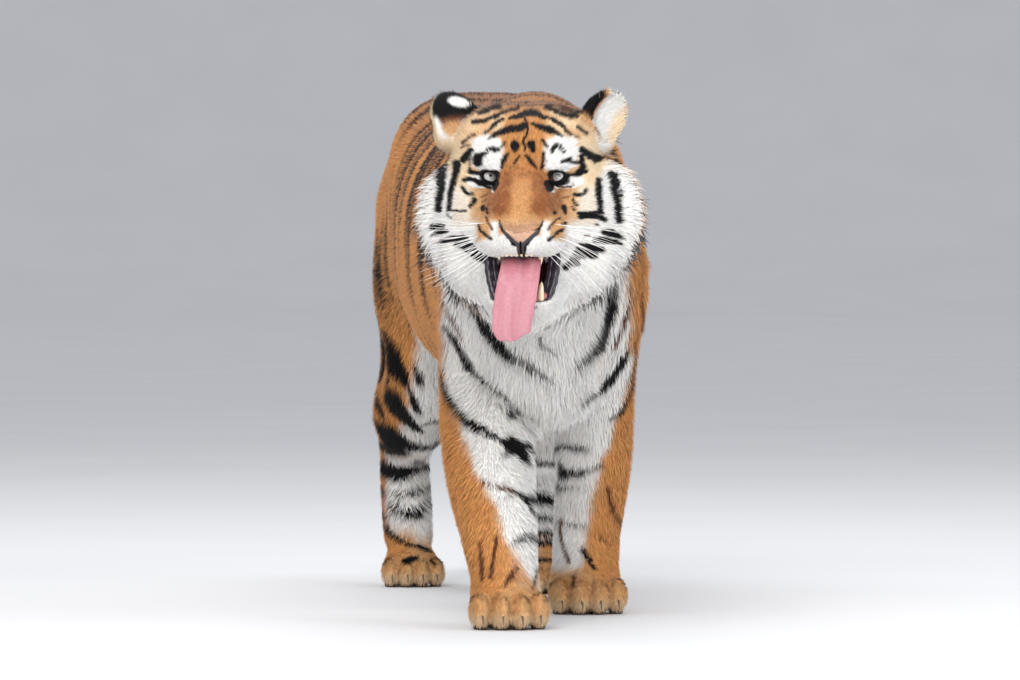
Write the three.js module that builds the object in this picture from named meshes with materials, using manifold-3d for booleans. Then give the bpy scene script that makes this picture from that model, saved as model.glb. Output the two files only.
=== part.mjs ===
// A life-size Siberian tiger, walking with its mouth open and tongue out, as the solids of a still
// museum model. Millimetres: +Z is up, the animal faces -Y, and its left side is +X. Each surface
// is the tip of the winter coat. The body is one smooth field of blended limbs and masses, which is
// meshed, reduced, and then parted with thin cuts.

import * as THREE from 'three';
import { edgeTable, triTable } from 'three/addons/objects/MarchingCubes.js';
import { mergeVertices } from 'three/addons/utils/BufferGeometryUtils.js';
import Module from 'manifold-3d';

const wasm = await Module();
wasm.setup();

// ---------- Driving dimensions ----------

const WITHERS = 915; // height of the shoulders
const RUMP = 934; // height of the croup
const HIP = [78, 1075, 706]; // left hip joint, from a point on the ground under the shoulders
const GAP = 0.5; // width of the cuts between nodes
const HEAD = { eyes: [-77, -420, 751], yaw: 9, pitch: 2 }; // point between the eyes, and the head's turn
const EYE = { side: 59, forward: -12, up: 0, radius: 19 };
const BODY_MESH = { cell: 11, triangles: 2330 };
const HEAD_MESH = { cell: 6.5, triangles: 1500 };
const EAR_MESH = { cell: 5, triangles: 150 };

// Stations of the trunk and neck from throat to rump: along Y, shift, top, bottom, half width, squareness.
const TRUNK = [
  { y: -330, x: -60, top: 840, bottom: 590, half: 104, square: 2.0 },
  { y: -240, x: -46, top: 874, bottom: 500, half: 138, square: 2.0 },
  { y: -120, x: -28, top: WITHERS - 12, bottom: 430, half: 154, square: 2.0 },
  { y: 0, x: -12, top: WITHERS, bottom: 390, half: 160, square: 2.05 },
  { y: 160, x: -2, top: 904, bottom: 372, half: 176, square: 2.15 },
  { y: 360, x: 0, top: 886, bottom: 370, half: 192, square: 2.25 },
  { y: 600, x: 0, top: 886, bottom: 392, half: 198, square: 2.35 },
  { y: 800, x: 0, top: 906, bottom: 436, half: 192, square: 2.6 },
  { y: 980, x: 0, top: RUMP, bottom: 500, half: 186, square: 2.95 },
  { y: 1130, x: 0, top: RUMP - 18, bottom: 570, half: 160, square: 2.6 },
  { y: 1240, x: 0, top: 864, bottom: 650, half: 106, square: 2.1 },
  { y: 1310, x: 0, top: 800, bottom: 720, half: 48, square: 2.0 },
];

// ---------- Field algebra: each field gives the distance to a surface, negative inside ----------

const FAR = 90; // beyond this, a rough distance will do

const lerp = (a, b, t) => a + (b - a) * t;

const clamp = (v, low, high) => Math.min(high, Math.max(low, v));

/** Union of fields with a fillet of about size k where they meet. */
function blend(k, ...fields) {
  return (x, y, z) => {
    let d = fields[0](x, y, z);
    for (let i = 1; i < fields.length; i++) {
      const other = fields[i](x, y, z);
      const h = Math.max(k - Math.abs(d - other), 0) / k;
      d = Math.min(d, other) - (h * h * k) / 4;
    }
    return d;
  };
}

/** The first field with the second hollowed out of it, the rim rounded by k. */
function carve(k, body, tool) {
  return (x, y, z) => {
    const a = body(x, y, z);
    const b = -tool(x, y, z);
    const h = Math.max(k - Math.abs(a - b), 0) / k;
    return Math.max(a, b) + (h * h * k) / 4;
  };
}

/** An ellipsoid, optionally leaning sideways by tilt degrees (its top towards +x). */
function ellipsoid([cx, cy, cz], [rx, ry, rz], tilt = 0) {
  const cos = Math.cos(THREE.MathUtils.degToRad(tilt));
  const sin = Math.sin(THREE.MathUtils.degToRad(tilt));
  return (x, y, z) => {
    const dx = (x - cx) * cos - (z - cz) * sin;
    const dy = y - cy;
    const dz = (x - cx) * sin + (z - cz) * cos;
    const k0 = Math.hypot(dx / rx, dy / ry, dz / rz);
    const k1 = Math.hypot(dx / rx ** 2, dy / ry ** 2, dz / rz ** 2);
    return k1 < 1e-9 ? -Math.min(rx, ry, rz) : (k0 * (k0 - 1)) / k1;
  };
}

/** A limb segment from a to b whose radius runs from ra to rb. */
function limb([ax, ay, az], [bx, by, bz], ra, rb) {
  const [vx, vy, vz] = [bx - ax, by - ay, bz - az];
  const length2 = vx * vx + vy * vy + vz * vz;
  return (x, y, z) => {
    const [px, py, pz] = [x - ax, y - ay, z - az];
    const t = clamp((px * vx + py * vy + pz * vz) / length2, 0, 1);
    return Math.hypot(px - vx * t, py - vy * t, pz - vz * t) - lerp(ra, rb, t);
  };
}

/** A smooth tube through joints [x, y, z, radius]. Far from it, the distance to its box stands in. */
function tube(joints, steps = 5) {
  const path = new THREE.CatmullRomCurve3(joints.map(([x, y, z]) => new THREE.Vector3(x, y, z)));
  const girth = new THREE.CatmullRomCurve3(joints.map((joint) => new THREE.Vector3(joint[3], 0, 0)));
  const count = (joints.length - 1) * steps;
  const stops = Array.from({ length: count + 1 }, (_, i) => [
    ...path.getPoint(i / count).toArray(),
    girth.getPoint(i / count).x,
  ]);
  const segments = stops.slice(1).map((b, i) => limb(stops[i], b, stops[i][3], b[3]));
  const box = new THREE.Box3();
  stops.forEach(([x, y, z, r]) => box.union(new THREE.Box3().setFromCenterAndSize(
    new THREE.Vector3(x, y, z),
    new THREE.Vector3(2 * r, 2 * r, 2 * r),
  )));
  const here = new THREE.Vector3();
  return (x, y, z) => {
    const away = box.distanceToPoint(here.set(x, y, z));
    return away > FAR ? away : segments.reduce((d, segment) => Math.min(d, segment(x, y, z)), Infinity);
  };
}

/** Smooth curve through stations, read by key. */
function profile(stations, key) {
  const slopes = stations.map((s, i) => {
    const before = stations[Math.max(i - 1, 0)];
    const after = stations[Math.min(i + 1, stations.length - 1)];
    return (after[key] - before[key]) / (after.y - before.y);
  });
  return (y) => {
    let i = 0;
    while (i < stations.length - 2 && y > stations[i + 1].y) i++;
    const span = stations[i + 1].y - stations[i].y;
    const t = clamp((y - stations[i].y) / span, 0, 1);
    const [a, b] = [stations[i][key], stations[i + 1][key]];
    const [sa, sb] = [slopes[i] * span, slopes[i + 1] * span];
    return a + t * (sa + t * (3 * (b - a) - 2 * sa - sb + t * (2 * (a - b) + sa + sb)));
  };
}

/** A body lofted along Y through stations of rounded-rectangle sections. */
function loft(stations) {
  const [shift, top, bottom, half, square] = ['x', 'top', 'bottom', 'half', 'square'].map((key) =>
    profile(stations, key),
  );
  const [first, last] = [stations[0].y, stations[stations.length - 1].y];
  return (x, y, z) => {
    const [w, n] = [half(y), square(y)];
    const high = top(y);
    const low = bottom(y);
    const h = (high - low) / 2;
    const across = Math.abs(x - shift(y)) / w;
    const upwards = Math.abs(z - (high + low) / 2) / h;
    const side = ((across ** n + upwards ** n) ** (1 / n) - 1) * Math.min(w, h);
    const beyond = Math.max(first - y, y - last, 0);
    return beyond > 0 ? Math.hypot(Math.max(side, 0), beyond) : side;
  };
}

// ---------- Anatomy ----------

// Head axes are side (the animal's left), forward and up, from the point between the eyes.
const TURN = { yaw: THREE.MathUtils.degToRad(HEAD.yaw), pitch: THREE.MathUtils.degToRad(HEAD.pitch) };
const SIDE = new THREE.Vector3(Math.cos(TURN.yaw), -Math.sin(TURN.yaw), 0);
const LEVEL = new THREE.Vector3(-Math.sin(TURN.yaw), -Math.cos(TURN.yaw), 0);
const FORWARD = LEVEL.clone().multiplyScalar(Math.cos(TURN.pitch)).setZ(-Math.sin(TURN.pitch));
const UP = LEVEL.clone().multiplyScalar(Math.sin(TURN.pitch)).setZ(Math.cos(TURN.pitch));
const EYES = new THREE.Vector3(...HEAD.eyes);
const HEAD_MATRIX = new THREE.Matrix4().makeBasis(SIDE, FORWARD.clone().negate(), UP).setPosition(EYES);

/** Rewrites a field drawn in head axes as a field of the body's. */
function inHead(field) {
  return (x, y, z) => {
    const [dx, dy, dz] = [x - EYES.x, y - EYES.y, z - EYES.z];
    return field(
      dx * SIDE.x + dy * SIDE.y,
      dx * FORWARD.x + dy * FORWARD.y + dz * FORWARD.z,
      dx * UP.x + dy * UP.y + dz * UP.z,
    );
  };
}

/** The body-frame point of a head-frame one. */
const fromHead = (side, forward, up) => new THREE.Vector3(side, -forward, up).applyMatrix4(HEAD_MATRIX);

/** Mirrors a head-frame field drawn on the positive side. */
const bothSides = (field) => (s, f, u) => field(Math.abs(s), f, u);

// The masses of the head in head axes: centre, radii, and lean outwards. Most come in mirrored pairs.
const CRANIUM = {
  braincase: { at: [0, -105, 34], radii: [112, 120, 88] },
  temples: { at: [62, -98, 58], radii: [64, 84, 58], paired: true },
  forehead: { at: [0, -34, 30], radii: [88, 66, 52] },
  cheekbones: { at: [82, -70, -32], radii: [62, 72, 66], paired: true },
  cheeks: { at: [62, -24, -100], radii: [42, 62, 66], paired: true },
  snout: { at: [0, 46, -66], radii: [66, 88, 56] },
};
const FACE = {
  brows: { at: [50, -4, 27], radii: [34, 24, 16], lean: -18, paired: true },
  whiskerPads: { at: [38, 106, -90], radii: [41, 56, 35], paired: true },
  noseTip: { at: [0, 144, -80], radii: [36, 27, 30] },
  upperLip: { at: [0, 128, -102], radii: [44, 38, 21] },
};
const CHIN = {
  chin: { at: [0, 90, -213], radii: [45, 37, 31] },
  floor: { at: [0, 0, -196], radii: [58, 92, 44] },
};
const RUFF = {
  side: { at: [114, -98, -60], radii: [76, 62, 102], lean: -4, paired: true },
  jowl: { at: [92, -84, -140], radii: [64, 62, 72], lean: 16, paired: true },
  throat: { at: [4, -110, -150], radii: [104, 90, 104] },
};
const RUFF_SHIFT = 6; // the ruff hangs a little to the animal's left
const MOUTH = { at: [0, 112, -160], radii: [56, 92, 35] };
const SOCKETS = { at: [63, 19, 1], radii: [21, 22, 12], lean: -14, paired: true };

/** The field of one mass, or of a mirrored pair of them. */
function mass({ at, radii, lean = 0, paired = false }) {
  const one = ellipsoid(at, radii, lean);
  return paired ? bothSides(one) : one;
}

const masses = (group) => Object.values(group).map(mass);

function headField() {
  const bridge = limb([0, 0, -6], [0, 122, -64], 44, 34);
  const muzzle = blend(14, blend(34, ...masses(CRANIUM), bridge), ...masses(FACE));
  const jawbones = bothSides(limb([58, -66, -136], [28, 78, -206], 42, 30));
  const jaw = blend(26, jawbones, ...masses(CHIN));
  const ruff = blend(40, ...masses(RUFF));
  const lipCorners = bothSides(limb([22, 20, -148], [30, 96, -160], 20, 34));
  const mouth = blend(10, mass(MOUTH), lipCorners);
  const whole = blend(26, muzzle, jaw, (s, f, u) => ruff(s - RUFF_SHIFT, f, u));
  return inHead(carve(7, carve(9, whole, mouth), mass(SOCKETS)));
}

// Each ear in head axes: the middle of its base, the way it points, and the way its opening faces.
const EARS = {
  left: { base: [104, -94, 62], points: [0.5, -0.1, 0.85], opens: [0.6, 0.7, -0.3] },
  right: { base: [-108, -90, 64], points: [-0.24, -0.5, 0.83], opens: [-0.5, -0.75, -0.4] },
};

/** An ear's own axes: across it, the way it opens, and along it. */
function earAxes({ base, points, opens }) {
  const toBody = ([s, f, u]) =>
    SIDE.clone().multiplyScalar(s).addScaledVector(FORWARD, f).addScaledVector(UP, u).normalize();
  const along = toBody(points);
  const across = toBody(opens).cross(along).normalize();
  const facing = along.clone().cross(across);
  return new THREE.Matrix4().makeBasis(across, facing, along).setPosition(fromHead(...base));
}

/** A cupped ear: an outer bowl, hollowed from the side that it opens to. */
function earField(ear) {
  const toEar = earAxes(ear).invert();
  const outer = blend(18, ellipsoid([0, 0, 43], [46, 24, 52]), ellipsoid([0, 0, 6], [46, 32, 30]));
  const cup = carve(5, outer, ellipsoid([0, 22, 52], [36, 25, 43]));
  const here = new THREE.Vector3();
  return (x, y, z) => {
    here.set(x, y, z).applyMatrix4(toEar);
    return cup(here.x, here.y, here.z);
  };
}

const FORE = {
  right: {
    scapula: [-66, 66, 776, 74],
    shoulder: [-88, -84, 606, 92],
    elbow: [-99, -14, 432, 84],
    forearm: [-103, -112, 282, 81],
    wrist: [-93, -204, 140, 64],
    pastern: [-88, -228, 84, 58],
    paw: [-86, -250],
    pawHalf: 65,
  },
  left: {
    scapula: [66, 92, 776, 74],
    shoulder: [88, -30, 606, 92],
    elbow: [97, 100, 426, 82],
    forearm: [110, 170, 272, 70],
    wrist: [104, 220, 140, 61],
    pastern: [100, 206, 84, 60],
    paw: [97, 180],
    pawHalf: 66,
  },
};

const HIND = {
  right: {
    hip: [-HIP[0], HIP[1], HIP[2], 116],
    knee: [-108, 922, 430, 86],
    shank: [-128, 1050, 330, 68],
    hock: [-133, 1168, 238, 50],
    ankle: [-131, 1120, 96, 48],
    ischium: [-66, 1200, 700, 70],
    hamstring: [-110, 1085, 480, 74],
    thigh: [-100, 1010, 560],
    paw: [-128, 1086],
    pawHalf: 57,
  },
  left: {
    hip: [HIP[0], HIP[1], HIP[2], 116],
    knee: [106, 812, 490, 84],
    shank: [98, 880, 360, 66],
    hock: [90, 950, 232, 48],
    ankle: [90, 868, 96, 48],
    ischium: [66, 1200, 700, 70],
    hamstring: [100, 985, 500, 74],
    thigh: [98, 950, 590],
    paw: [92, 826],
    pawHalf: 57,
  },
};

/** A paw: a palm with four toes spread in a fan, facing -Y. */
function pawField([px, py], half) {
  const toes = [-1.5, -0.5, 0.5, 1.5].map((i) => {
    const spread = i * half * 0.5;
    const reach = half * (0.84 - 0.13 * i * i);
    return ellipsoid([px + spread, py - reach, half * 0.48], [half * 0.34, half * 0.66, half * 0.52]);
  });
  const palm = ellipsoid([px, py + half * 0.1, half * 0.66], [half * 0.96, half * 1.1, half * 0.8]);
  return blend(10, palm, ...toes);
}

/** A leg through its named joints, down to the paw. */
function legField(leg, joints) {
  return blend(24, tube(joints.map((name) => leg[name])), pawField(leg.paw, leg.pawHalf));
}

/** A foreleg, with the pad and tuft behind its wrist. */
function forelegField(leg) {
  const [wx, wy, wz] = leg.wrist;
  return blend(
    26,
    legField(leg, ['scapula', 'shoulder', 'elbow', 'forearm', 'wrist', 'pastern']),
    ellipsoid([wx, wy + 30, wz - 6], [40, 34, 42]),
  );
}

/** A hind leg, with the big muscle of the thigh and the hamstrings behind it. */
function hindlegField(leg) {
  return blend(
    44,
    legField(leg, ['hip', 'knee', 'shank', 'hock', 'ankle']),
    ellipsoid(leg.thigh, [104, 150, 158]),
    tube([leg.ischium, leg.hamstring, leg.shank]),
  );
}

const TAIL = [
  [0, 1240, 800, 66],
  [0, 1330, 748, 50],
  [4, 1398, 640, 41],
  [10, 1428, 500, 37],
  [18, 1452, 360, 35],
  [32, 1498, 246, 34],
  [52, 1570, 182, 32],
  [74, 1650, 176, 27],
  [92, 1718, 210, 16],
];

function bodyField() {
  const forelegs = [FORE.right, FORE.left].map(forelegField);
  const hindlegs = [HIND.right, HIND.left].map(hindlegField);
  const nearest = ([a, b]) => (x, y, z) => Math.min(a(x, y, z), b(x, y, z));
  const brisket = blend(
    50,
    loft(TRUNK),
    ellipsoid([-18, -110, 480], [112, 112, 130]),
    ellipsoid([0, -30, 398], [92, 120, 70]),
  );
  const withLegs = blend(50, brisket, nearest(forelegs), nearest(hindlegs));
  return blend(40, withLegs, headField(), tube(TAIL));
}

// ---------- Meshing ----------

const CORNERS = [
  [0, 0, 0], [1, 0, 0], [1, 1, 0], [0, 1, 0],
  [0, 0, 1], [1, 0, 1], [1, 1, 1], [0, 1, 1],
];
const EDGES = [
  [0, 1], [1, 2], [2, 3], [3, 0], [4, 5], [5, 6],
  [6, 7], [7, 4], [0, 4], [1, 5], [2, 6], [3, 7],
];

/** Samples a field on a grid of cubes, coarse blocks first, so that empty space costs little. */
function sampleGrid(field, box, cell) {
  const size = ['x', 'y', 'z'].map((a) => Math.ceil((box.max[a] - box.min[a]) / cell) + 1);
  const values = new Float32Array(size[0] * size[1] * size[2]);
  const block = 6;
  const reach = block * cell * 1.1;
  for (let bk = 0; bk < size[2]; bk += block)
    for (let bj = 0; bj < size[1]; bj += block)
      for (let bi = 0; bi < size[0]; bi += block) {
        const middle = [bi, bj, bk].map((b) => b + block / 2);
        const far = field(
          box.min.x + middle[0] * cell,
          box.min.y + middle[1] * cell,
          box.min.z + middle[2] * cell,
        );
        for (let k = bk; k < Math.min(bk + block, size[2]); k++)
          for (let j = bj; j < Math.min(bj + block, size[1]); j++)
            for (let i = bi; i < Math.min(bi + block, size[0]); i++)
              values[i + size[0] * (j + size[1] * k)] =
                Math.abs(far) > reach * 1.6
                  ? far
                  : field(box.min.x + i * cell, box.min.y + j * cell, box.min.z + k * cell);
      }
  return { size, values };
}

/** Marching cubes over a field: flat vertex list and triangle list. */
function march(field, box, cell) {
  const { size, values } = sampleGrid(field, box, cell);
  const [nx, ny, nz] = size;
  const index = (i, j, k) => i + nx * (j + ny * k);
  const points = [];
  const triangles = [];
  const made = new Map();
  for (let k = 0; k < nz - 1; k++)
    for (let j = 0; j < ny - 1; j++)
      for (let i = 0; i < nx - 1; i++) {
        const at = CORNERS.map(([a, b, c]) => values[index(i + a, j + b, k + c)]);
        const cube = at.reduce((bits, v, n) => bits | (v < 0 ? 1 << n : 0), 0);
        if (edgeTable[cube] === 0) continue;
        const cut = EDGES.map(([p, q], e) => {
          if (!(edgeTable[cube] & (1 << e))) return -1;
          const [a, b] = [p, q].map((n) => CORNERS[n].map((c, axis) => c + [i, j, k][axis]));
          const ends = [index(...a), index(...b)].sort((m, n) => m - n);
          const key = ends[0] * 8 + (ends[1] - ends[0] === 1 ? 0 : ends[1] - ends[0] === nx ? 1 : 2);
          if (!made.has(key)) {
            const t = clamp(at[p] / (at[p] - at[q]), 0.02, 0.98);
            made.set(key, points.length / 3);
            points.push(
              box.min.x + lerp(a[0], b[0], t) * cell,
              box.min.y + lerp(a[1], b[1], t) * cell,
              box.min.z + lerp(a[2], b[2], t) * cell,
            );
          }
          return made.get(key);
        });
        for (let n = cube * 16; triTable[n] !== -1; n += 3)
          triangles.push(cut[triTable[n]], cut[triTable[n + 2]], cut[triTable[n + 1]]);
      }
  return { points, triangles };
}

/** Collapses the edges that matter least, by `weight` and error, until `goal` triangles are left. */
function reduce({ points, triangles }, goal, weight) {
  const count = points.length / 3;
  const quadrics = new Float64Array(count * 10);
  const rings = Array.from({ length: count }, () => new Set());
  const alive = new Uint8Array(triangles.length / 3).fill(1);
  const corner = (v) => new THREE.Vector3(points[3 * v], points[3 * v + 1], points[3 * v + 2]);
  const plane = (a, b, c) => {
    const normal = new THREE.Vector3().crossVectors(b.clone().sub(a), c.clone().sub(a));
    return { area: normal.length() / 2, normal: normal.normalize() };
  };
  for (let t = 0; t < alive.length; t++) {
    const ids = [0, 1, 2].map((n) => triangles[3 * t + n]);
    const [a, b, c] = ids.map(corner);
    const { area, normal } = plane(a, b, c);
    const [x, y, z, w] = [normal.x, normal.y, normal.z, -normal.dot(a)];
    const share = area * weight(a);
    const terms = [x * x, x * y, x * z, x * w, y * y, y * z, y * w, z * z, z * w, w * w];
    ids.forEach((v) => {
      rings[v].add(t);
      terms.forEach((term, n) => (quadrics[10 * v + n] += term * share));
    });
  }
  const cost = (q, p) =>
    q[0] * p.x * p.x + 2 * q[1] * p.x * p.y + 2 * q[2] * p.x * p.z + 2 * q[3] * p.x + q[4] * p.y * p.y +
    2 * q[5] * p.y * p.z + 2 * q[6] * p.y + q[7] * p.z * p.z + 2 * q[8] * p.z + q[9];
  const candidate = (u, v) => {
    const q = Array.from({ length: 10 }, (_, n) => quadrics[10 * u + n] + quadrics[10 * v + n]);
    const m = new THREE.Matrix3().set(q[0], q[1], q[2], q[1], q[4], q[5], q[2], q[5], q[7]);
    const [a, b] = [corner(u), corner(v)];
    const options = [a.clone().lerp(b, 0.5), a, b];
    const scale = (q[0] + q[4] + q[7]) / 3;
    if (Math.abs(m.determinant()) > 1e-3 * scale ** 3) {
      const best = new THREE.Vector3(-q[3], -q[6], -q[8]).applyMatrix3(m.invert());
      if (best.distanceTo(options[0]) < 2 * a.distanceTo(b)) options.unshift(best);
    }
    const scored = options.map((p) => [cost(q, p), p]).sort((x, y) => x[0] - y[0]);
    return { u, v, cost: scored[0][0] + 1e-4 * a.distanceToSquared(b), point: scored[0][1] };
  };
  const stamp = new Uint32Array(count);
  const heap = [];
  const swap = (i, j) => ([heap[i], heap[j]] = [heap[j], heap[i]]);
  const push = (item) => {
    heap.push(item);
    for (let i = heap.length - 1; i > 0 && heap[(i - 1) >> 1].cost > heap[i].cost; i = (i - 1) >> 1)
      swap(i, (i - 1) >> 1);
  };
  const pop = () => {
    const top = heap[0];
    const last = heap.pop();
    if (heap.length) {
      heap[0] = last;
      for (let i = 0; ; ) {
        let low = i;
        for (const child of [2 * i + 1, 2 * i + 2])
          if (child < heap.length && heap[child].cost < heap[low].cost) low = child;
        if (low === i) break;
        swap(i, low);
        i = low;
      }
    }
    return top;
  };
  const neighbours = (v) => {
    const found = new Set();
    rings[v].forEach((t) => [0, 1, 2].forEach((n) => found.add(triangles[3 * t + n])));
    found.delete(v);
    return found;
  };
  const offer = (u, v) => push({ ...candidate(u, v), stamps: [stamp[u], stamp[v]] });
  for (let v = 0; v < count; v++) neighbours(v).forEach((u) => v < u && offer(v, u));
  const flips = (v, other, point) =>
    [...rings[v]].some((t) => {
      const ids = [0, 1, 2].map((n) => triangles[3 * t + n]);
      if (ids.includes(other)) return false;
      const before = plane(...ids.map(corner));
      const after = plane(...ids.map((id) => (id === v ? point : corner(id))));
      return after.area < 1e-3 || before.normal.dot(after.normal) < 0.25;
    });
  let left = alive.length;
  while (left > goal && heap.length) {
    const { u, v, point, stamps } = pop();
    if (stamp[u] !== stamps[0] || stamp[v] !== stamps[1]) continue;
    const around = neighbours(v);
    const shared = [...neighbours(u)].filter((n) => around.has(n));
    if (shared.length !== 2 || flips(u, v, point) || flips(v, u, point)) continue;
    points.splice(3 * u, 3, point.x, point.y, point.z);
    for (let n = 0; n < 10; n++) quadrics[10 * u + n] += quadrics[10 * v + n];
    for (const t of [...rings[v]]) {
      const ids = [0, 1, 2].map((n) => triangles[3 * t + n]);
      if (ids.includes(u)) {
        alive[t] = 0;
        left -= 1;
        ids.forEach((id) => rings[id].delete(t));
      } else {
        triangles[3 * t + ids.indexOf(v)] = u;
        rings[u].add(t);
      }
    }
    rings[v].clear();
    stamp[v] = stamp[u] = stamp[u] + stamp[v] + 1;
    neighbours(u).forEach((n) => offer(Math.min(u, n), Math.max(u, n)));
  }
  return { points, triangles: triangles.filter((_, i) => alive[Math.floor(i / 3)]) };
}

// ---------- Solids ----------

/** A closed mesh, given as a geometry, as a solid that can be joined and cut. */
function solid(geometry) {
  const bare = geometry.clone();
  ['normal', 'uv'].forEach((name) => bare.deleteAttribute(name));
  const merged = mergeVertices(bare, 1e-3);
  return new wasm.Manifold(
    new wasm.Mesh({
      numProp: 3,
      vertProperties: new Float32Array(merged.attributes.position.array),
      triVerts: new Uint32Array(merged.index.array),
    }),
  );
}

/** The same solid as a three.js geometry with flat faces. */
function geometryOf(body) {
  const mesh = body.getMesh();
  const positions = new Float32Array(mesh.numVert * 3);
  for (let i = 0; i < mesh.numVert; i++)
    positions.set(mesh.vertProperties.subarray(i * mesh.numProp, i * mesh.numProp + 3), i * 3);
  const geometry = new THREE.BufferGeometry()
    .setAttribute('position', new THREE.BufferAttribute(positions, 3))
    .setIndex(new THREE.BufferAttribute(new Uint32Array(mesh.triVerts), 1));
  geometry.computeVertexNormals();
  return geometry;
}

function largest(body) {
  return body.decompose().sort((a, b) => b.volume() - a.volume())[0];
}

/** A box between two corners, turned about its middle by degrees and widened by `grow` on every side. */
function box([x0, y0, z0], [x1, y1, z1], turn = [0, 0, 0], grow = 0) {
  const geometry = new THREE.BoxGeometry(x1 - x0 + 2 * grow, y1 - y0 + 2 * grow, z1 - z0 + 2 * grow);
  const angles = new THREE.Euler(...turn.map(THREE.MathUtils.degToRad));
  geometry.applyMatrix4(new THREE.Matrix4().makeRotationFromEuler(angles));
  return geometry.translate((x0 + x1) / 2, (y0 + y1) / 2, (z0 + z1) / 2);
}

/** The same, between two corners in head axes. */
const headBox = ([s0, f0, u0], [s1, f1, u1], turn, grow) =>
  box([s0, -f1, u0], [s1, -f0, u1], turn, grow).applyMatrix4(HEAD_MATRIX);

/** An ellipsoid in head axes. */
const headBall = ([s, f, u], [rs, rf, ru], detail = 2) =>
  new THREE.IcosahedronGeometry(1, detail).scale(rs, rf, ru).translate(s, -f, u).applyMatrix4(HEAD_MATRIX);

/** A tooth in head axes, from the middle of its root to its tip. */
function tooth(root, tip, radius) {
  const [from, to] = [fromHead(...root), fromHead(...tip)];
  const along = to.clone().sub(from);
  const cone = new THREE.CylinderGeometry(radius * 0.25, radius, along.length(), 5);
  const upright = new THREE.Quaternion().setFromUnitVectors(new THREE.Vector3(0, 1, 0), along.normalize());
  return cone.applyQuaternion(upright).translate(...from.add(to).multiplyScalar(0.5).toArray());
}

// The tongue from root to tip in head axes: the middle of each section, its half width and half thickness.
const TONGUE = [
  { at: [0, 8, -164], half: 22, thick: 8 },
  { at: [0, 40, -149], half: 26, thick: 8 },
  { at: [-1, 76, -136], half: 29, thick: 7 },
  { at: [-2, 112, -131], half: 30, thick: 6.5 },
  { at: [-5, 139, -150], half: 30, thick: 6.5 },
  { at: [-10, 151, -180], half: 33, thick: 6.5 },
  { at: [-16, 153, -215], half: 34, thick: 6 },
  { at: [-16, 149, -245], half: 29, thick: 5.5 },
  { at: [-14, 147, -259], half: 13, thick: 4 },
];

/** The tongue, grooved along its middle, and grown by `grow` all round. */
function tongueGeometry(grow = 0) {
  const [around, along] = [12, 15];
  const curve = (pick) => new THREE.CatmullRomCurve3(TONGUE.map(pick));
  const path = curve(({ at }) => fromHead(...at));
  const size = curve(({ half, thick }) => new THREE.Vector3(half + grow, thick + grow, 0));
  const rings = Array.from({ length: along + 1 }, (_, i) => {
    const [middle, { x: half, y: thick }] = [path.getPoint(i / along), size.getPoint(i / along)];
    const outwards = SIDE.clone().cross(path.getTangent(i / along)).normalize();
    return Array.from({ length: around }, (_, j) => {
      const angle = (2 * Math.PI * j) / around;
      const groove = Math.sin(angle) > 0 ? 1 - 0.35 * Math.exp(-((Math.cos(angle) / 0.25) ** 2)) : 1;
      return middle
        .clone()
        .addScaledVector(SIDE, half * Math.cos(angle))
        .addScaledVector(outwards, thick * Math.sin(angle) * groove);
    });
  });
  const first = path.getPoint(0).addScaledVector(path.getTangent(0), -grow);
  const last = path.getPoint(1).addScaledVector(path.getTangent(1), grow);
  const positions = [...rings.flat(), first, last].flatMap((v) => v.toArray());
  const [start, end] = [rings.length * around, rings.length * around + 1];
  const faces = [];
  for (let j = 0; j < around; j++) {
    const next = (j + 1) % around;
    faces.push(start, j, next, end, along * around + next, along * around + j);
    for (let i = 0; i < along; i++) {
      const [a, b] = [i * around + j, i * around + next];
      faces.push(a, a + around, b, b, a + around, b + around);
    }
  }
  const geometry = new THREE.BufferGeometry();
  geometry.setAttribute('position', new THREE.Float32BufferAttribute(positions, 3));
  return geometry.setIndex(faces);
}

// ---------- Building and parting ----------

/** A field meshed within a box, reduced, and made solid. */
function bodyOf(field, low, high, { cell, triangles }, weight = () => 1) {
  const limits = new THREE.Box3(new THREE.Vector3(...low), new THREE.Vector3(...high));
  const inside = limits.clone().expandByScalar(-1.5 * cell);
  const middle = inside.getCenter(new THREE.Vector3());
  const half = inside.getSize(new THREE.Vector3()).divideScalar(2);
  const closed = (x, y, z) =>
    Math.max(
      field(x, y, z),
      Math.abs(x - middle.x) - half.x,
      Math.abs(y - middle.y) - half.y,
      Math.abs(z - middle.z) - half.z,
    );
  const { points, triangles: faces } = reduce(march(closed, limits, cell), triangles, weight);
  const geometry = new THREE.BufferGeometry();
  geometry.setAttribute('position', new THREE.Float32BufferAttribute(points, 3));
  return solid(geometry.setIndex(faces));
}

/** Parts what lies inside the cutters from a body: the piece, and the rest with a gap between them. */
function part(body, cutters) {
  const tools = [0, GAP].map((grow) => cutters(grow).map(solid).reduce((all, tool) => all.add(tool)));
  return [largest(body.intersect(tools[0])), body.subtract(tools[1])];
}

const pieces = new Map();

/** Takes a named piece out of a body and gives back the rest. */
function take(name, body, ...cutters) {
  const [piece, rest] = part(body, (grow) => cutters.map((cutter) => cutter(grow)));
  pieces.set(name, piece);
  return rest;
}

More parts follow.
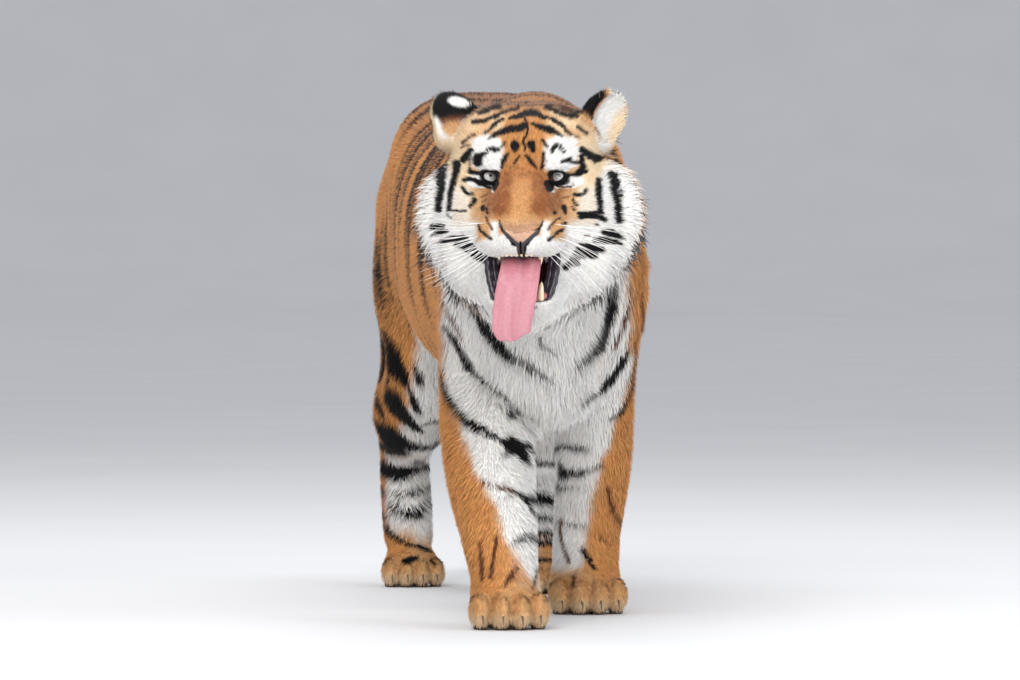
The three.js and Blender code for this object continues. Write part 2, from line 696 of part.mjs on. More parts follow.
/** The outline of the nose pad, wide above and narrow at the lip, run back through the muzzle. */
function noseCut(grow) {
  const [top, low] = [-66 + grow, -106 - grow];
  const [brow, wing, foot] = [27, 34, 13].map((half) => half + grow);
  const outline = new THREE.Shape();
  outline.moveTo(-foot, low);
  outline.lineTo(foot, low);
  outline.lineTo(wing, -78);
  outline.quadraticCurveTo(wing, top, brow, top);
  outline.lineTo(-brow, top);
  outline.quadraticCurveTo(-wing, top, -wing, -78);
  const depth = 50 + 2 * grow;
  const prism = new THREE.ExtrudeGeometry(outline, { depth, bevelEnabled: false, curveSegments: 3 });
  // Drawn in side and up, run along the forward axis from just behind the pad.
  prism.rotateX(Math.PI / 2).translate(0, -150 + grow, 0);
  return prism.applyMatrix4(HEAD_MATRIX);
}

const cut = (low, high, turn) => (grow) => box(low, high, turn, grow);
const headCut = (low, high, turn) => (grow) => headBox(low, high, turn, grow);
const whole = bodyField();
const nape = headCut([-290, -158, -330], [290, 260, 200]);

function buildHead() {
  const ears = Object.values(EARS).map((ear) => {
    const { x, y, z } = fromHead(...ear.base);
    return bodyOf(earField(ear), [x - 130, y - 130, z - 60], [x + 130, y + 130, z + 150], EAR_MESH);
  });
  const face = ({ y }) => (y < EYES.y ? 3 : 1);
  let head = bodyOf(whole, [-330, -640, 400], [190, -170, 930], HEAD_MESH, face);
  head = ears.reduce((all, ear) => all.add(ear), head);
  head = largest(head.intersect(solid(nape(0))));
  Object.entries(EARS).forEach(([side, ear]) => {
    const cutter = (grow) => box([-54, -36, 22], [54, 62, 130], [0, 0, 0], grow).applyMatrix4(earAxes(ear));
    head = take(`ear_${side}`, head, cutter);
  });
  for (const [side, sign] of [['left', 1], ['right', -1]]) {
    const place = [sign * EYE.side, EYE.forward, EYE.up];
    const ball = (grow) => solid(headBall(place, Array(3).fill(EYE.radius + grow)));
    pieces.set(`eye_${side}`, ball(0));
    head = head.subtract(ball(GAP));
  }
  const nostrils = [-1, 1].map((sign) => solid(headBall([sign * 19, 176, -82], [8, 14, 7], 1)));
  head = take('nose', head, noseCut);
  pieces.set('nose', nostrils.reduce((nose, hole) => nose.subtract(hole), pieces.get('nose')));
  head = take('lower_jaw', head, headCut([-86, -34, -290], [86, 175, -150]));
  const incisors = [-2.5, -1.5, -0.5, 0.5, 1.5, 2.5];
  const upperTeeth = [
    ...incisors.map((i) => tooth([i * 8, 142, -110], [i * 8, 143, -123], 4)),
    ...[-1, 1].map((sign) => tooth([sign * 30, 126, -106], [sign * 27, 130, -146], 8)),
  ];
  const lowerTeeth = [
    ...incisors.map((i) => tooth([i * 7, 106, -204], [i * 7, 108, -188], 3.5)),
    ...[-1, 1].map((sign) => tooth([sign * 29, 100, -206], [sign * 27, 104, -164], 8)),
  ];
  const tongue = solid(tongueGeometry(GAP));
  const withTeeth = (body, teeth) => {
    const joined = teeth.map(solid).reduce((all, one) => all.add(one), body);
    return largest(joined.subtract(tongue));
  };
  pieces.set('head', withTeeth(head, upperTeeth));
  pieces.set('lower_jaw', withTeeth(pieces.get('lower_jaw'), lowerTeeth));
  pieces.set('tongue', solid(tongueGeometry()));
}

/** A box on one side of the animal: `sign` is 1 on its left and -1 on its right. */
function sideCut(sign, [inner, y0, z0], [outer, y1, z1]) {
  const [a, b] = [sign * inner, sign * outer].sort((m, n) => m - n);
  return cut([a, y0, z0], [b, y1, z1]);
}

// How far along Y each side's upper foreleg and its thigh reach.
const LEG_CUTS = [
  { side: 'left', sign: 1, front: [-10, 225], back: [720, 1330] },
  { side: 'right', sign: -1, front: [-230, 90], back: [820, 1330] },
];

function buildBody() {
  let body = bodyOf(whole, [-300, -360, -24], [300, 1790, 960], BODY_MESH);
  body = body.subtract(solid(box([-600, -900, -200], [600, 2000, 0]))).subtract(solid(nape(GAP)));
  for (const { side, sign, front, back } of LEG_CUTS) {
    const leg = FORE[side];
    const reach = [leg.paw[1] - 120, leg.paw[1] + 150];
    body = take(`fore_${side}_paw`, body, sideCut(sign, [2, reach[0], -10], [300, reach[1], 104]));
    body = take(`fore_${side}_lower`, body, sideCut(sign, [2, -330, 104 + GAP], [300, 340, 300]));
    body = take(
      `fore_${side}_upper`,
      body,
      sideCut(sign, [48, front[0], 300 + GAP], [300, front[1], 500]),
      sideCut(sign, [2, front[0], 300 + GAP], [60, front[1], 336]),
    );
    body = take(`hind_${side}_paw`, body, sideCut(sign, [2, 700, -10], [300, 1260, 104]));
    body = take(`hind_${side}_shank`, body, sideCut(sign, [2, 700, 104 + GAP], [300, 1300, 330]));
    body = take(
      `hind_${side}_thigh`,
      body,
      sideCut(sign, [56, back[0], 330 + GAP], [300, back[1], 600]),
      sideCut(sign, [2, 850, 330 + GAP], [70, back[1], 440]),
    );
  }
  body = take('tail_tip', body, cut([-120, 1330, 0], [220, 1790, 265]));
  body = take('tail_middle', body, cut([-120, 1330, 265 + GAP], [220, 1790, 560]));
  body = take('tail_base', body, cut([-120, 1298, 560 + GAP], [220, 1790, 960]));
  body = take('neck', body, cut([-300, -800, 300], [300, -145, 1100], [-20, 0, 0]));
  body = take('rump', body, cut([-300, 850, 0], [300, 1500, 1000]));
  body = take('barrel', body, cut([-300, 340, 0], [300, 850 - GAP, 1000]));
  pieces.set('chest', largest(body));
}

buildHead();
buildBody();

// ---------- The model ----------

const FINISH = {
  coat: { color: 0xd6873e, roughness: 0.95 },
  pale: { color: 0xf0ebe4, roughness: 0.95 },
  eye: { color: 0xa5a0a0, roughness: 0.15 },
  nose: { color: 0xbe8c78, roughness: 0.5 },
  tongue: { color: 0xe196a5, roughness: 0.45 },
};

const FINISHES = { lower_jaw: 'pale', eye_left: 'eye', eye_right: 'eye', nose: 'nose', tongue: 'tongue' };

const tiger = new THREE.Group();
pieces.forEach((body, name) => {
  const finish = FINISH[FINISHES[name] ?? 'coat'];
  const mesh = new THREE.Mesh(geometryOf(body), new THREE.MeshStandardMaterial({ metalness: 0, ...finish }));
  mesh.name = name;
  tiger.add(mesh);
});

// The origin is on the ground, under the middle of the whole animal.
const extent = new THREE.Box3().setFromObject(tiger);
const middle = extent.getCenter(new THREE.Vector3());
tiger.position.set(-middle.x, -middle.y, -extent.min.z);

export default tiger;
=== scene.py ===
"""A life-size Siberian tiger in its winter coat, walking with its mouth open and its tongue out.

One skin covers the whole animal, and lies inside the coat by the coat's own depth. The coat is solid
tufts, rooted on the skin and lying the way the hair grows. Skin and tufts take their colours from the
same markings. Eyes, nose leather, lips, teeth, tongue, whiskers, claws and pads are pieces of their
own. Lengths are millimetres until a mesh is made, on the solids' own axes: +Z is up, the animal faces
-Y and its left side is +X.
"""

import logging
import math
from dataclasses import dataclass, field
from enum import Enum
from typing import Callable, Sequence

import bpy
import numpy as np
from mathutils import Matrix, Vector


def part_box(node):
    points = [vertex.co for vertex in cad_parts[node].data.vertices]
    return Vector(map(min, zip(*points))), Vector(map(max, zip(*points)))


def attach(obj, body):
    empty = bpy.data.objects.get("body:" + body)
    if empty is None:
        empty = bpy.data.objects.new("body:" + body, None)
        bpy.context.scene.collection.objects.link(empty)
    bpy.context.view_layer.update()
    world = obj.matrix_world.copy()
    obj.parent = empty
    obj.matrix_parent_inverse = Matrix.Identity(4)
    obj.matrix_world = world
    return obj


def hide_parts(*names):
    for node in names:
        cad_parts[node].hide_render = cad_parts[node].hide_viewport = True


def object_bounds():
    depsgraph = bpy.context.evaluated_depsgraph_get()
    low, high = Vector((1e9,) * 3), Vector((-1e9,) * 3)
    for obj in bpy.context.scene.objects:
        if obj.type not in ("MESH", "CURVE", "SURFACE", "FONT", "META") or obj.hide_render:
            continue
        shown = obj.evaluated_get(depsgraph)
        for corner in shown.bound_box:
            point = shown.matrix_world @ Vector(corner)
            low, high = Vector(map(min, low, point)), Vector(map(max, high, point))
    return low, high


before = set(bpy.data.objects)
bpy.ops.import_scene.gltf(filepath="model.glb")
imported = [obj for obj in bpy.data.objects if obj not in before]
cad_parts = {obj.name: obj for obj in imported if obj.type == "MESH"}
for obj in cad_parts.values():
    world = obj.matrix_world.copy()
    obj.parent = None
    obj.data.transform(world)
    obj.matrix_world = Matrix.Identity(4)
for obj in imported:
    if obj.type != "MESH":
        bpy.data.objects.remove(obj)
CAD_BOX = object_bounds()
LOG = logging.getLogger("tiger")

Array = np.ndarray
Point = tuple[float, float, float]
F = np.float32
FAR = 90.0  # beyond this, a rough distance will do
TINY = 1e-4  # a step shorter than this counts as none
BODY = "root"


# ---------- Small mathematics ----------


def smooth(low: float, high: float, value: Array) -> Array:
    """Ease from 0 at low to 1 at high."""
    t = np.clip((value - low) / (high - low), 0.0, 1.0)
    return t * t * (3.0 - 2.0 * t)


def soft_min(k: float, a: Array, b: Array) -> Array:
    """The lesser of two distances, rounded over a width k."""
    h = np.maximum(k - np.abs(a - b), 0.0) / k
    return np.minimum(a, b) - h * h * (k / 4.0)


def soft_max(k: float, a: Array, b: Array) -> Array:
    """The greater of two distances, rounded over a width k."""
    h = np.maximum(k - np.abs(a - b), 0.0) / k
    return np.maximum(a, b) + h * h * (k / 4.0)


def unit(v: Array) -> Array:
    """Vectors scaled to length 1."""
    return v / np.maximum(np.linalg.norm(v, axis=-1, keepdims=True), 1e-9)


def mix(a: Array, b: Array, w: Array) -> Array:
    """Blend rows of a towards b by the weight w."""
    return a + (np.asarray(b, F) - a) * w[..., None]


def fill(colour: Sequence[float], count: int) -> Array:
    """One colour repeated for a number of points."""
    return np.repeat(np.asarray(colour, F)[None], count, 0)


def linear(red: int, green: int, blue: int) -> tuple[float, float, float]:
    """A colour in display values 0 to 255, as the linear light that shaders take."""
    out = []
    for channel in (red, green, blue):
        c = channel / 255.0
        out.append(c / 12.92 if c <= 0.04045 else ((c + 0.055) / 1.055) ** 2.4)
    return out[0], out[1], out[2]


def noise(p: Array, scale: float, seed: int) -> Array:
    """Smooth value noise between -1 and 1.

    Args:
        p: Points, one to a row, of two or three coordinates.
        scale: Width of one bump, in the points' own unit.
        seed: Number that picks the pattern.

    Returns:
        One value for each point.
    """
    q = p.astype(np.float64) / scale + 1000.0
    base = np.floor(q).astype(np.int64)
    t = q - base
    t = t * t * (3.0 - 2.0 * t)
    total = np.zeros(len(p))
    dims = p.shape[1]
    for corner in range(1 << dims):
        key = np.full(len(p), seed * 374761393 + 7, np.int64)
        weight = np.ones(len(p))
        for axis in range(dims):
            bit = (corner >> axis) & 1
            key = (key ^ (base[:, axis] + bit) * (668265263, 2246822519, 3266489917)[axis]) & 0xFFFFFFFF
            key = (key * 2654435761 + 12345) & 0xFFFFFFFF
            weight = weight * (t[:, axis] if bit else 1.0 - t[:, axis])
        key ^= key >> 15
        key = (key * 2246822519) & 0xFFFFFFFF
        total += weight * ((key >> 8) & 0xFFFF) / 32767.5
    return (total - 1.0).astype(F)


def catmull(joints: Array, t: float) -> Array:
    """A point of the centripetal Catmull-Rom curve through the joints, at the share t of its length."""
    last = len(joints) - 1
    at = last * t
    i = min(int(math.floor(at)), last - 1)
    w = at - i
    before = joints[i - 1] if i > 0 else 2 * joints[0] - joints[1]
    after = joints[i + 2] if i + 2 <= last else 2 * joints[last] - joints[last - 1]
    a, b = joints[i], joints[i + 1]
    first, middle, final = (float(np.sum((v - u) ** 2)) ** 0.25 for u, v in ((before, a), (a, b), (b, after)))
    middle = middle if middle >= TINY else 1.0
    first = first if first >= TINY else middle
    final = final if final >= TINY else middle
    ta = ((a - before) / first - (b - before) / (first + middle) + (b - a) / middle) * middle
    tb = ((b - a) / middle - (after - a) / (middle + final) + (after - b) / final) * middle
    return a + w * (ta + w * (-3 * a + 3 * b - 2 * ta - tb + w * (2 * a - 2 * b + ta + tb)))


# ---------- Fields: the distance to a surface, negative inside ----------


@dataclass
class Ellipsoid:
    """An ellipsoid, leaning sideways by an angle in degrees, alone or as a mirrored pair."""

    centre: Point
    radii: Point
    lean: float = 0.0
    paired: bool = False

    def at(self, p: Array) -> Array:
        """The distance at each point."""
        x = np.abs(p[:, 0]) if self.paired else p[:, 0]
        dx, dy, dz = x - F(self.centre[0]), p[:, 1] - F(self.centre[1]), p[:, 2] - F(self.centre[2])
        if self.lean:
            c, s = math.cos(math.radians(self.lean)), math.sin(math.radians(self.lean))
            dx, dz = dx * F(c) - dz * F(s), dx * F(s) + dz * F(c)
        rx, ry, rz = (F(r) for r in self.radii)
        ax, ay, az = dx / rx, dy / ry, dz / rz
        k0 = np.sqrt(ax * ax + ay * ay + az * az)
        bx, by, bz = ax / rx, ay / ry, az / rz
        k1 = np.sqrt(bx * bx + by * by + bz * bz)
        return k0 * (k0 - 1) / np.maximum(k1, F(1e-6))


@dataclass
class Limb:
    """A round bar between two points, with a radius at each, alone or as a mirrored pair."""

    start: Point
    end: Point
    radius: float
    radius_end: float
    paired: bool = False

    def at(self, p: Array) -> Array:
        """The distance at each point."""
        a = np.array(self.start, F)
        v = np.array(self.end, F) - a
        q = p - a
        if self.paired:
            q[:, 0] = np.abs(p[:, 0]) - a[0]
        t = np.clip(q @ v / F(v @ v), 0, 1)
        q = q - t[:, None] * v
        return np.sqrt(np.einsum("ij,ij->i", q, q)) - (F(self.radius) + F(self.radius_end - self.radius) * t)


@dataclass
class Tube:
    """A bar that follows a smooth curve through joints of position and radius."""

    joints: Sequence[tuple[float, float, float, float]]
    steps: int = 5
    stops: Array = field(init=False)

    def __post_init__(self) -> None:
        """Lay the stops along the curve."""
        j = np.array(self.joints, float)
        girth = np.stack([j[:, 3], 0 * j[:, 3], 0 * j[:, 3]], 1)
        count = (len(j) - 1) * self.steps
        self.stops = np.array(
            [[*catmull(j[:, :3], i / count), catmull(girth, i / count)[0]] for i in range(count + 1)], F
        )

    def at(self, p: Array) -> Array:
        """The distance at each point, rough beyond FAR."""
        low = (self.stops[:, :3] - self.stops[:, 3:]).min(0)
        high = (self.stops[:, :3] + self.stops[:, 3:]).max(0)
        away = np.linalg.norm(np.maximum(np.maximum(low - p, p - high), 0), axis=1).astype(F)
        near = np.flatnonzero(away <= FAR)
        if len(near):
            q = p[near]
            best = np.full(len(near), F(1e9))
            for a, b in zip(self.stops[:-1], self.stops[1:]):
                best = np.minimum(best, Limb(tuple(a[:3]), tuple(b[:3]), float(a[3]), float(b[3])).at(q))
            away[near] = best
        return away

    def nearest(self, p: Array) -> Array:
        """The number of the nearest stop, at each point."""
        return ((p[:, None] - self.stops[None, :, :3]) ** 2).sum(2).argmin(1)

    def heading(self, p: Array, spread: float = 900.0, chunk: int = 20000) -> Array:
        """The direction of the curve at each point, eased between its stretches."""
        middle = (self.stops[1:, :3] + self.stops[:-1, :3]) / 2
        along = unit(self.stops[1:, :3] - self.stops[:-1, :3])
        out = np.empty((len(p), 3), F)
        for i in range(0, len(p), chunk):
            gap = ((p[i : i + chunk, None, :] - middle[None]) ** 2).sum(2)
            weight = np.exp(-(gap - gap.min(1, keepdims=True)) / spread)
            out[i : i + chunk] = unit(weight @ along)
        return out


@dataclass
class Loft:
    """A body of superellipse sections along Y: y, shift, top, bottom, half width, squareness."""

    stations: Sequence[tuple[float, ...]]

    def section(self, y: Array) -> list[Array]:
        """Shift, top, bottom, half width and squareness at each y."""
        s = np.array(self.stations, float)
        n = len(s)
        i = np.clip(np.searchsorted(s[:, 0], y, side="left") - 1, 0, n - 2)
        span = s[i + 1, 0] - s[i, 0]
        t = np.clip((y - s[i, 0]) / span, 0, 1)
        out = []
        for k in range(1, 6):
            before = np.maximum(np.arange(n) - 1, 0)
            after = np.minimum(np.arange(n) + 1, n - 1)
            slope = (s[after, k] - s[before, k]) / (s[after, 0] - s[before, 0])
            a, b, sa, sb = s[i, k], s[i + 1, k], slope[i] * span, slope[i + 1] * span
            out.append((a + t * (sa + t * (3 * (b - a) - 2 * sa - sb + t * (2 * (a - b) + sa + sb)))).astype(F))
        return out

    def at(self, p: Array) -> Array:
        """The distance at each point."""
        shift, top, bottom, half, square = self.section(p[:, 1])
        h = (top - bottom) / 2
        across = np.abs(p[:, 0] - shift) / half
        upwards = np.abs(p[:, 2] - (top + bottom) / 2) / h
        side = ((across**square + upwards**square) ** (1 / square) - 1) * np.minimum(half, h)
        beyond = np.maximum(np.maximum(self.stations[0][0] - p[:, 1], p[:, 1] - self.stations[-1][0]), 0)
        return np.where(beyond > 0, np.hypot(np.maximum(side, 0), beyond), side).astype(F)


@dataclass
class Blend:
    """Several fields run together over a width k."""

    k: float
    parts: Sequence

    def at(self, p: Array) -> Array:
        """The distance at each point."""
        d = self.parts[0].at(p)
        for part in self.parts[1:]:
            d = soft_min(self.k, d, part.at(p))
        return d


@dataclass
class Carve:
    """A body with a tool's shape cut out of it, its edge rounded over a width k."""

    k: float
    body: object
    tool: object

    def at(self, p: Array) -> Array:
        """The distance at each point."""
        return soft_max(self.k, self.body.at(p), -self.tool.at(p))


# ---------- The animal's frame and masses ----------

EYES = np.array((-77.0, -420.0, 751.0), F)  # the point between the eyes
YAW, PITCH = math.radians(9), math.radians(2)
SIDE = np.array((math.cos(YAW), -math.sin(YAW), 0), F)
FORWARD = np.array((-math.sin(YAW) * math.cos(PITCH), -math.cos(YAW) * math.cos(PITCH), -math.sin(PITCH)), F)
UP = np.array((-math.sin(YAW) * math.sin(PITCH), -math.cos(YAW) * math.sin(PITCH), math.cos(PITCH)), F)
HEAD_AXES = np.stack([SIDE, FORWARD, UP], 1)
EYE_CENTRE = (59.0, -12.0, 0.0)
EYE_RADIUS = 19.0


def to_head(p: Array) -> Array:
    """Body points in head axes: side, forward, up from between the eyes."""
    return ((p - EYES) @ HEAD_AXES).astype(F)


def from_head(q: Array) -> Array:
    """Head points in body axes."""
    return (np.asarray(q, F) @ HEAD_AXES.T + EYES).astype(F)


def frame_shift() -> Array:
    """The solids' own frame, in metres, from the body's millimetres: found from the left eye."""
    low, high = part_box("eye_left")
    middle = (np.array(low, float) + np.array(high, float)) / 2
    return middle - from_head(np.array([EYE_CENTRE]))[0].astype(float) / 1000.0


SHIFT = frame_shift()

TRUNK = Loft((
    (-330, -60, 840, 590, 104, 2.0),
    (-240, -46, 874, 500, 138, 2.0),
    (-120, -28, 903, 430, 154, 2.0),
    (0, -12, 915, 390, 160, 2.05),
    (160, -2, 904, 372, 176, 2.15),
    (360, 0, 886, 370, 192, 2.25),
    (600, 0, 886, 392, 198, 2.35),
    (800, 0, 906, 436, 192, 2.6),
    (980, 0, 934, 500, 186, 2.95),
    (1130, 0, 916, 570, 160, 2.6),
    (1240, 0, 864, 650, 106, 2.1),
    (1310, 0, 800, 720, 48, 2.0),
))
TAIL = Tube((
    (0, 1240, 800, 66), (0, 1330, 748, 50), (4, 1398, 640, 41), (10, 1428, 500, 37), (18, 1452, 360, 35),
    (32, 1498, 246, 34), (52, 1570, 182, 32), (74, 1650, 176, 27), (92, 1718, 210, 16),
))
SOLES = {  # each foot: the middle of its sole, and half of its width
    "fore_right": ((-86, -250), 65.0), "fore_left": ((97, 180), 66.0),
    "hind_right": ((-128, 1086), 57.0), "hind_left": ((92, 826), 57.0),
}
TOES = (-1.5, -0.5, 0.5, 1.5)  # each toe's place across the foot, in quarters of its width
TOE_ARC = 0.13  # how much farther back the outer toes stand
HALF_GIRTH = 640.0  # from the spine round one side to the middle of the belly


def round_trunk(p: Array) -> Array:
    """The angle of each point round the trunk, from the spine."""
    shift, top, bottom, half, _ = TRUNK.section(p[:, 1])
    return np.arctan2((p[:, 0] - shift) / half, (p[:, 2] - (top + bottom) / 2) / ((top - bottom) / 2))


def paw(centre: tuple[float, float], half: float) -> Blend:
    """A foot: a palm and four toes in an arc."""
    px, py = centre
    toes = [
        Ellipsoid(
            (px + i * half * 0.5, py - half * (0.84 - TOE_ARC * i * i), half * 0.48),
            (half * 0.34, half * 0.66, half * 0.52),
        )
        for i in TOES
    ]
    palm = Ellipsoid((px, py + half * 0.1, half * 0.66), (half * 0.96, half * 1.1, half * 0.8))
    return Blend(10, [palm, *toes])


def foreleg(joints: Sequence[tuple[float, ...]], foot: tuple[float, float], half: float) -> Blend:
    """A foreleg: its tube, foot and the pad behind the wrist."""
    wx, wy, wz, _ = joints[4]
    return Blend(26, [Blend(24, [Tube(joints), paw(foot, half)]), Ellipsoid((wx, wy + 30, wz - 6), (40, 34, 42))])


def hindleg(
    joints: Sequence[tuple[float, ...]],
    foot: tuple[float, float],
    half: float,
    thigh: Point,
    back: Sequence[tuple[float, ...]],
) -> Blend:
    """A hind leg: its tube and foot, the thigh and the hamstrings."""
    return Blend(44, [Blend(24, [Tube(joints), paw(foot, half)]), Ellipsoid(thigh, (104, 150, 158)), Tube(back)])


FORE_RIGHT = foreleg(
    ((-66, 66, 776, 74), (-88, -84, 606, 92), (-99, -14, 432, 84), (-103, -112, 282, 81),
     (-93, -204, 140, 64), (-88, -228, 84, 58)), *SOLES["fore_right"])
FORE_LEFT = foreleg(
    ((66, 92, 776, 74), (88, -30, 606, 92), (97, 100, 426, 82), (110, 170, 272, 70),
     (104, 220, 140, 61), (100, 206, 84, 60)), *SOLES["fore_left"])
HIND_RIGHT = hindleg(
    ((-78, 1075, 706, 116), (-108, 922, 430, 86), (-128, 1050, 330, 68), (-133, 1168, 238, 50),
     (-131, 1120, 96, 48)), *SOLES["hind_right"], (-100, 1010, 560),
    ((-66, 1200, 700, 70), (-110, 1085, 480, 74), (-128, 1050, 330, 68)))
HIND_LEFT = hindleg(
    ((78, 1075, 706, 116), (106, 812, 490, 84), (98, 880, 360, 66), (90, 950, 232, 48),
     (90, 868, 96, 48)), *SOLES["hind_left"], (98, 950, 590),
    ((66, 1200, 700, 70), (100, 985, 500, 74), (98, 880, 360, 66)))
BRISKET = Blend(50, [TRUNK, Ellipsoid((-18, -110, 480), (112, 112, 130)), Ellipsoid((0, -30, 398), (92, 120, 70))])

SKULL = Blend(14, [
    Blend(34, [
        Ellipsoid((0, -105, 34), (112, 120, 88)), Ellipsoid((62, -98, 58), (64, 84, 58), paired=True),
        Ellipsoid((0, -34, 30), (88, 66, 52)), Ellipsoid((82, -70, -32), (62, 72, 66), paired=True),
        Ellipsoid((62, -24, -100), (42, 62, 66), paired=True), Ellipsoid((0, 46, -66), (66, 88, 56)),
        Limb((0, 0, -6), (0, 122, -64), 44, 34),
    ]),
    Ellipsoid((50, -4, 27), (34, 24, 16), -18, True), Ellipsoid((38, 106, -90), (41, 56, 35), paired=True),
    Ellipsoid((0, 144, -80), (36, 27, 30)), Ellipsoid((0, 128, -102), (44, 38, 21)),
])
JAW = Blend(26, [
    Limb((58, -66, -136), (28, 78, -206), 42, 30, True),
    Ellipsoid((0, 90, -213), (45, 37, 31)), Ellipsoid((0, 0, -196), (58, 92, 44)),
])
RUFF = Blend(40, [
    Ellipsoid((114, -98, -60), (76, 62, 102), -4, True), Ellipsoid((92, -84, -140), (64, 62, 72), 16, True),
    Ellipsoid((4, -110, -150), (104, 90, 104)),
])
RUFF_SHIFT = np.array((6, 0, 0), F)  # the ruff hangs a little to the animal's left
MOUTH = Blend(10, [Ellipsoid((0, 112, -160), (56, 92, 35)), Limb((22, 20, -148), (30, 96, -160), 20, 34, True)])
SOCKETS = Ellipsoid((63, 19, 1), (21, 22, 12), -14, True)
EAR_CUP = Carve(
    5, Blend(18, [Ellipsoid((0, 0, 43), (46, 24, 52)), Ellipsoid((0, 0, 6), (46, 32, 30))]),
    Ellipsoid((0, 22, 52), (36, 25, 43)))


@dataclass
class Ear:
    """One ear: the middle of its base in head axes, the way it points, and the way its opening faces."""

    base: Point
    points: Point
    opens: Point
    axes: Array = field(init=False)
    root: Array = field(init=False)

    def __post_init__(self) -> None:
        """Work out the ear's own axes: across, facing, along."""
        along = unit(HEAD_AXES @ np.array(self.points, F))
        across = unit(np.cross(HEAD_AXES @ np.array(self.opens, F), along))
        self.axes = np.stack([across, np.cross(along, across), along], 1).astype(F)
        self.root = from_head(np.array([self.base]))[0]

    def local(self, p: Array) -> Array:
        """Body points in the ear's axes."""
        return ((p - self.root) @ self.axes).astype(F)

    @staticmethod
    def from_middle(q: Array) -> Array:
        """How far points in an ear's axes lie from its middle."""
        return np.linalg.norm(q - np.array((0, 0, 40), F), axis=1)

    def at(self, p: Array) -> Array:
        """The distance at each point, rough beyond FAR."""
        q = self.local(p)
        out = self.from_middle(q) - 70
        near = np.flatnonzero(out <= FAR)
        out[near] = EAR_CUP.at(q[near])
        return out


EAR_LEFT = Ear((104, -94, 62), (0.5, -0.1, 0.85), (0.6, 0.7, -0.3))
EAR_RIGHT = Ear((-108, -90, 64), (-0.24, -0.5, 0.83), (-0.5, -0.75, -0.4))


def head_at(p: Array) -> Array:
    """The distance to the head's outer surface."""
    q = to_head(p)
    whole = soft_min(26, soft_min(26, SKULL.at(q), JAW.at(q)), RUFF.at(q - RUFF_SHIFT))
    return soft_max(7, soft_max(9, whole, -MOUTH.at(q)), -SOCKETS.at(q))


@dataclass
class Parts:
    """The distance from each point to each part of the body."""

    trunk: Array
    fore: Array
    hind: Array
    tail: Array
    head: Array
    ears: Array

    @property
    def limbs(self) -> Array:
        """The nearest leg."""
        return np.minimum(self.fore, self.hind)

    @property
    def body(self) -> Array:
        """The trunk with its legs."""
        return soft_min(50, soft_min(50, self.trunk, self.fore), self.hind)

    @property
    def outer(self) -> Array:
        """The tips of the coat."""
        whole = soft_min(40, soft_min(62, self.body, self.head), self.tail)
        return soft_min(12, whole, self.ears)


def boxed(at: Callable[[Array], Array], low: Point, high: Point, p: Array) -> Array:
    """A field worked out only near its own box, and the distance to the box elsewhere."""
    away = np.linalg.norm(np.maximum(np.maximum(np.array(low, F) - p, p - np.array(high, F)), 0), axis=1).astype(F)
    away += F(1)
    near = np.flatnonzero(away <= FAR)
    if len(near):
        away[near] = at(p[near])
    return away


def parts_at(p: Array) -> Parts:
    """Measure points against every part."""
    return Parts(
        trunk=boxed(BRISKET.at, (-200, -330, 310), (200, 1310, 935), p),
        fore=np.minimum(
            boxed(FORE_RIGHT.at, (-190, -340, 0), (10, 150, 860), p),
            boxed(FORE_LEFT.at, (-10, -130, 0), (190, 290, 860), p),
        ),
        hind=np.minimum(
            boxed(HIND_RIGHT.at, (-210, 820, 0), (30, 1280, 830), p),
            boxed(HIND_LEFT.at, (-30, 720, 0), (210, 1280, 830), p),
        ),
        tail=TAIL.at(p),
        head=boxed(head_at, (-280, -610, 480), (130, -190, 900), p),
        ears=np.minimum(EAR_LEFT.at(p), EAR_RIGHT.at(p)),
    )


# ---------- Depth of the coat, and the skin beneath it ----------

LENS = ((54.0, 6.0, 5.0), (12.5, 40.0, 7.0), -14.0)  # the opening between the lids: centre, radii, lean


def coat_depth(p: Array, parts: Parts) -> Array:
    """How far the tips of the coat stand off the skin, at each point."""
    q = to_head(p)
    s, f, u = np.abs(q[:, 0]), q[:, 1], q[:, 2]
    back = smooth(24, 104, -f)
    face = 3.2 + back * (6 + 15 * smooth(50, 110, s) * smooth(70, -10, u) + 12 * smooth(-60, -150, u))
    face += 6 * smooth(-192, -222, u) * smooth(20, 60, f)
    face *= smooth(-2, 14, MOUTH.at(q)) * 0.85 + 0.15
    body = 10 + 9 * smooth(20, -90, p[:, 1]) * smooth(760, 560, p[:, 2]) + 4 * smooth(470, 400, p[:, 2])
    leg = 4.5 + 6 * smooth(90, 420, p[:, 2])
    limbs = parts.limbs
    depth = body + (leg - body) * smooth(-26, 22, parts.trunk - limbs)
    depth = depth + (11 - depth) * smooth(-20, 20, np.minimum(parts.trunk, limbs) - parts.tail)
    depth = depth + (face - depth) * smooth(-30, 24, parts.body - parts.head)
    return (depth + (2.6 - depth) * smooth(-6, 12, parts.head - parts.ears)).astype(F)


def skin_at(p: Array) -> Array:
    """The distance to the skin: the coat's tips less the coat's depth, with the lids and nostrils cut."""
    parts = parts_at(p)
    d = parts.outer + coat_depth(p, parts)
    close = np.flatnonzero(parts.head < 40)
    if len(close):
        q = to_head(p[close])
        own = d[close]
        own = soft_min(5, own, Ellipsoid(EYE_CENTRE, (EYE_RADIUS + 3.4,) * 3, paired=True).at(q))
        own = soft_max(2.5, own, -Ellipsoid(*LENS, paired=True).at(q))
        d[close] = own
    return d


def gradient(at: Callable[[Array], Array], p: Array, step: float = 0.8) -> tuple[Array, Array]:
    """A field's value and slope at each point."""
    out = np.zeros_like(p)
    value = np.zeros(len(p), F)
    for corner in ((1, 1, 1), (1, -1, -1), (-1, 1, -1), (-1, -1, 1)):
        k = np.array(corner, F)
        d = at(p + k * F(step))
        out += k * d[:, None] / F(4 * step)
        value += d / 4
    return value, out


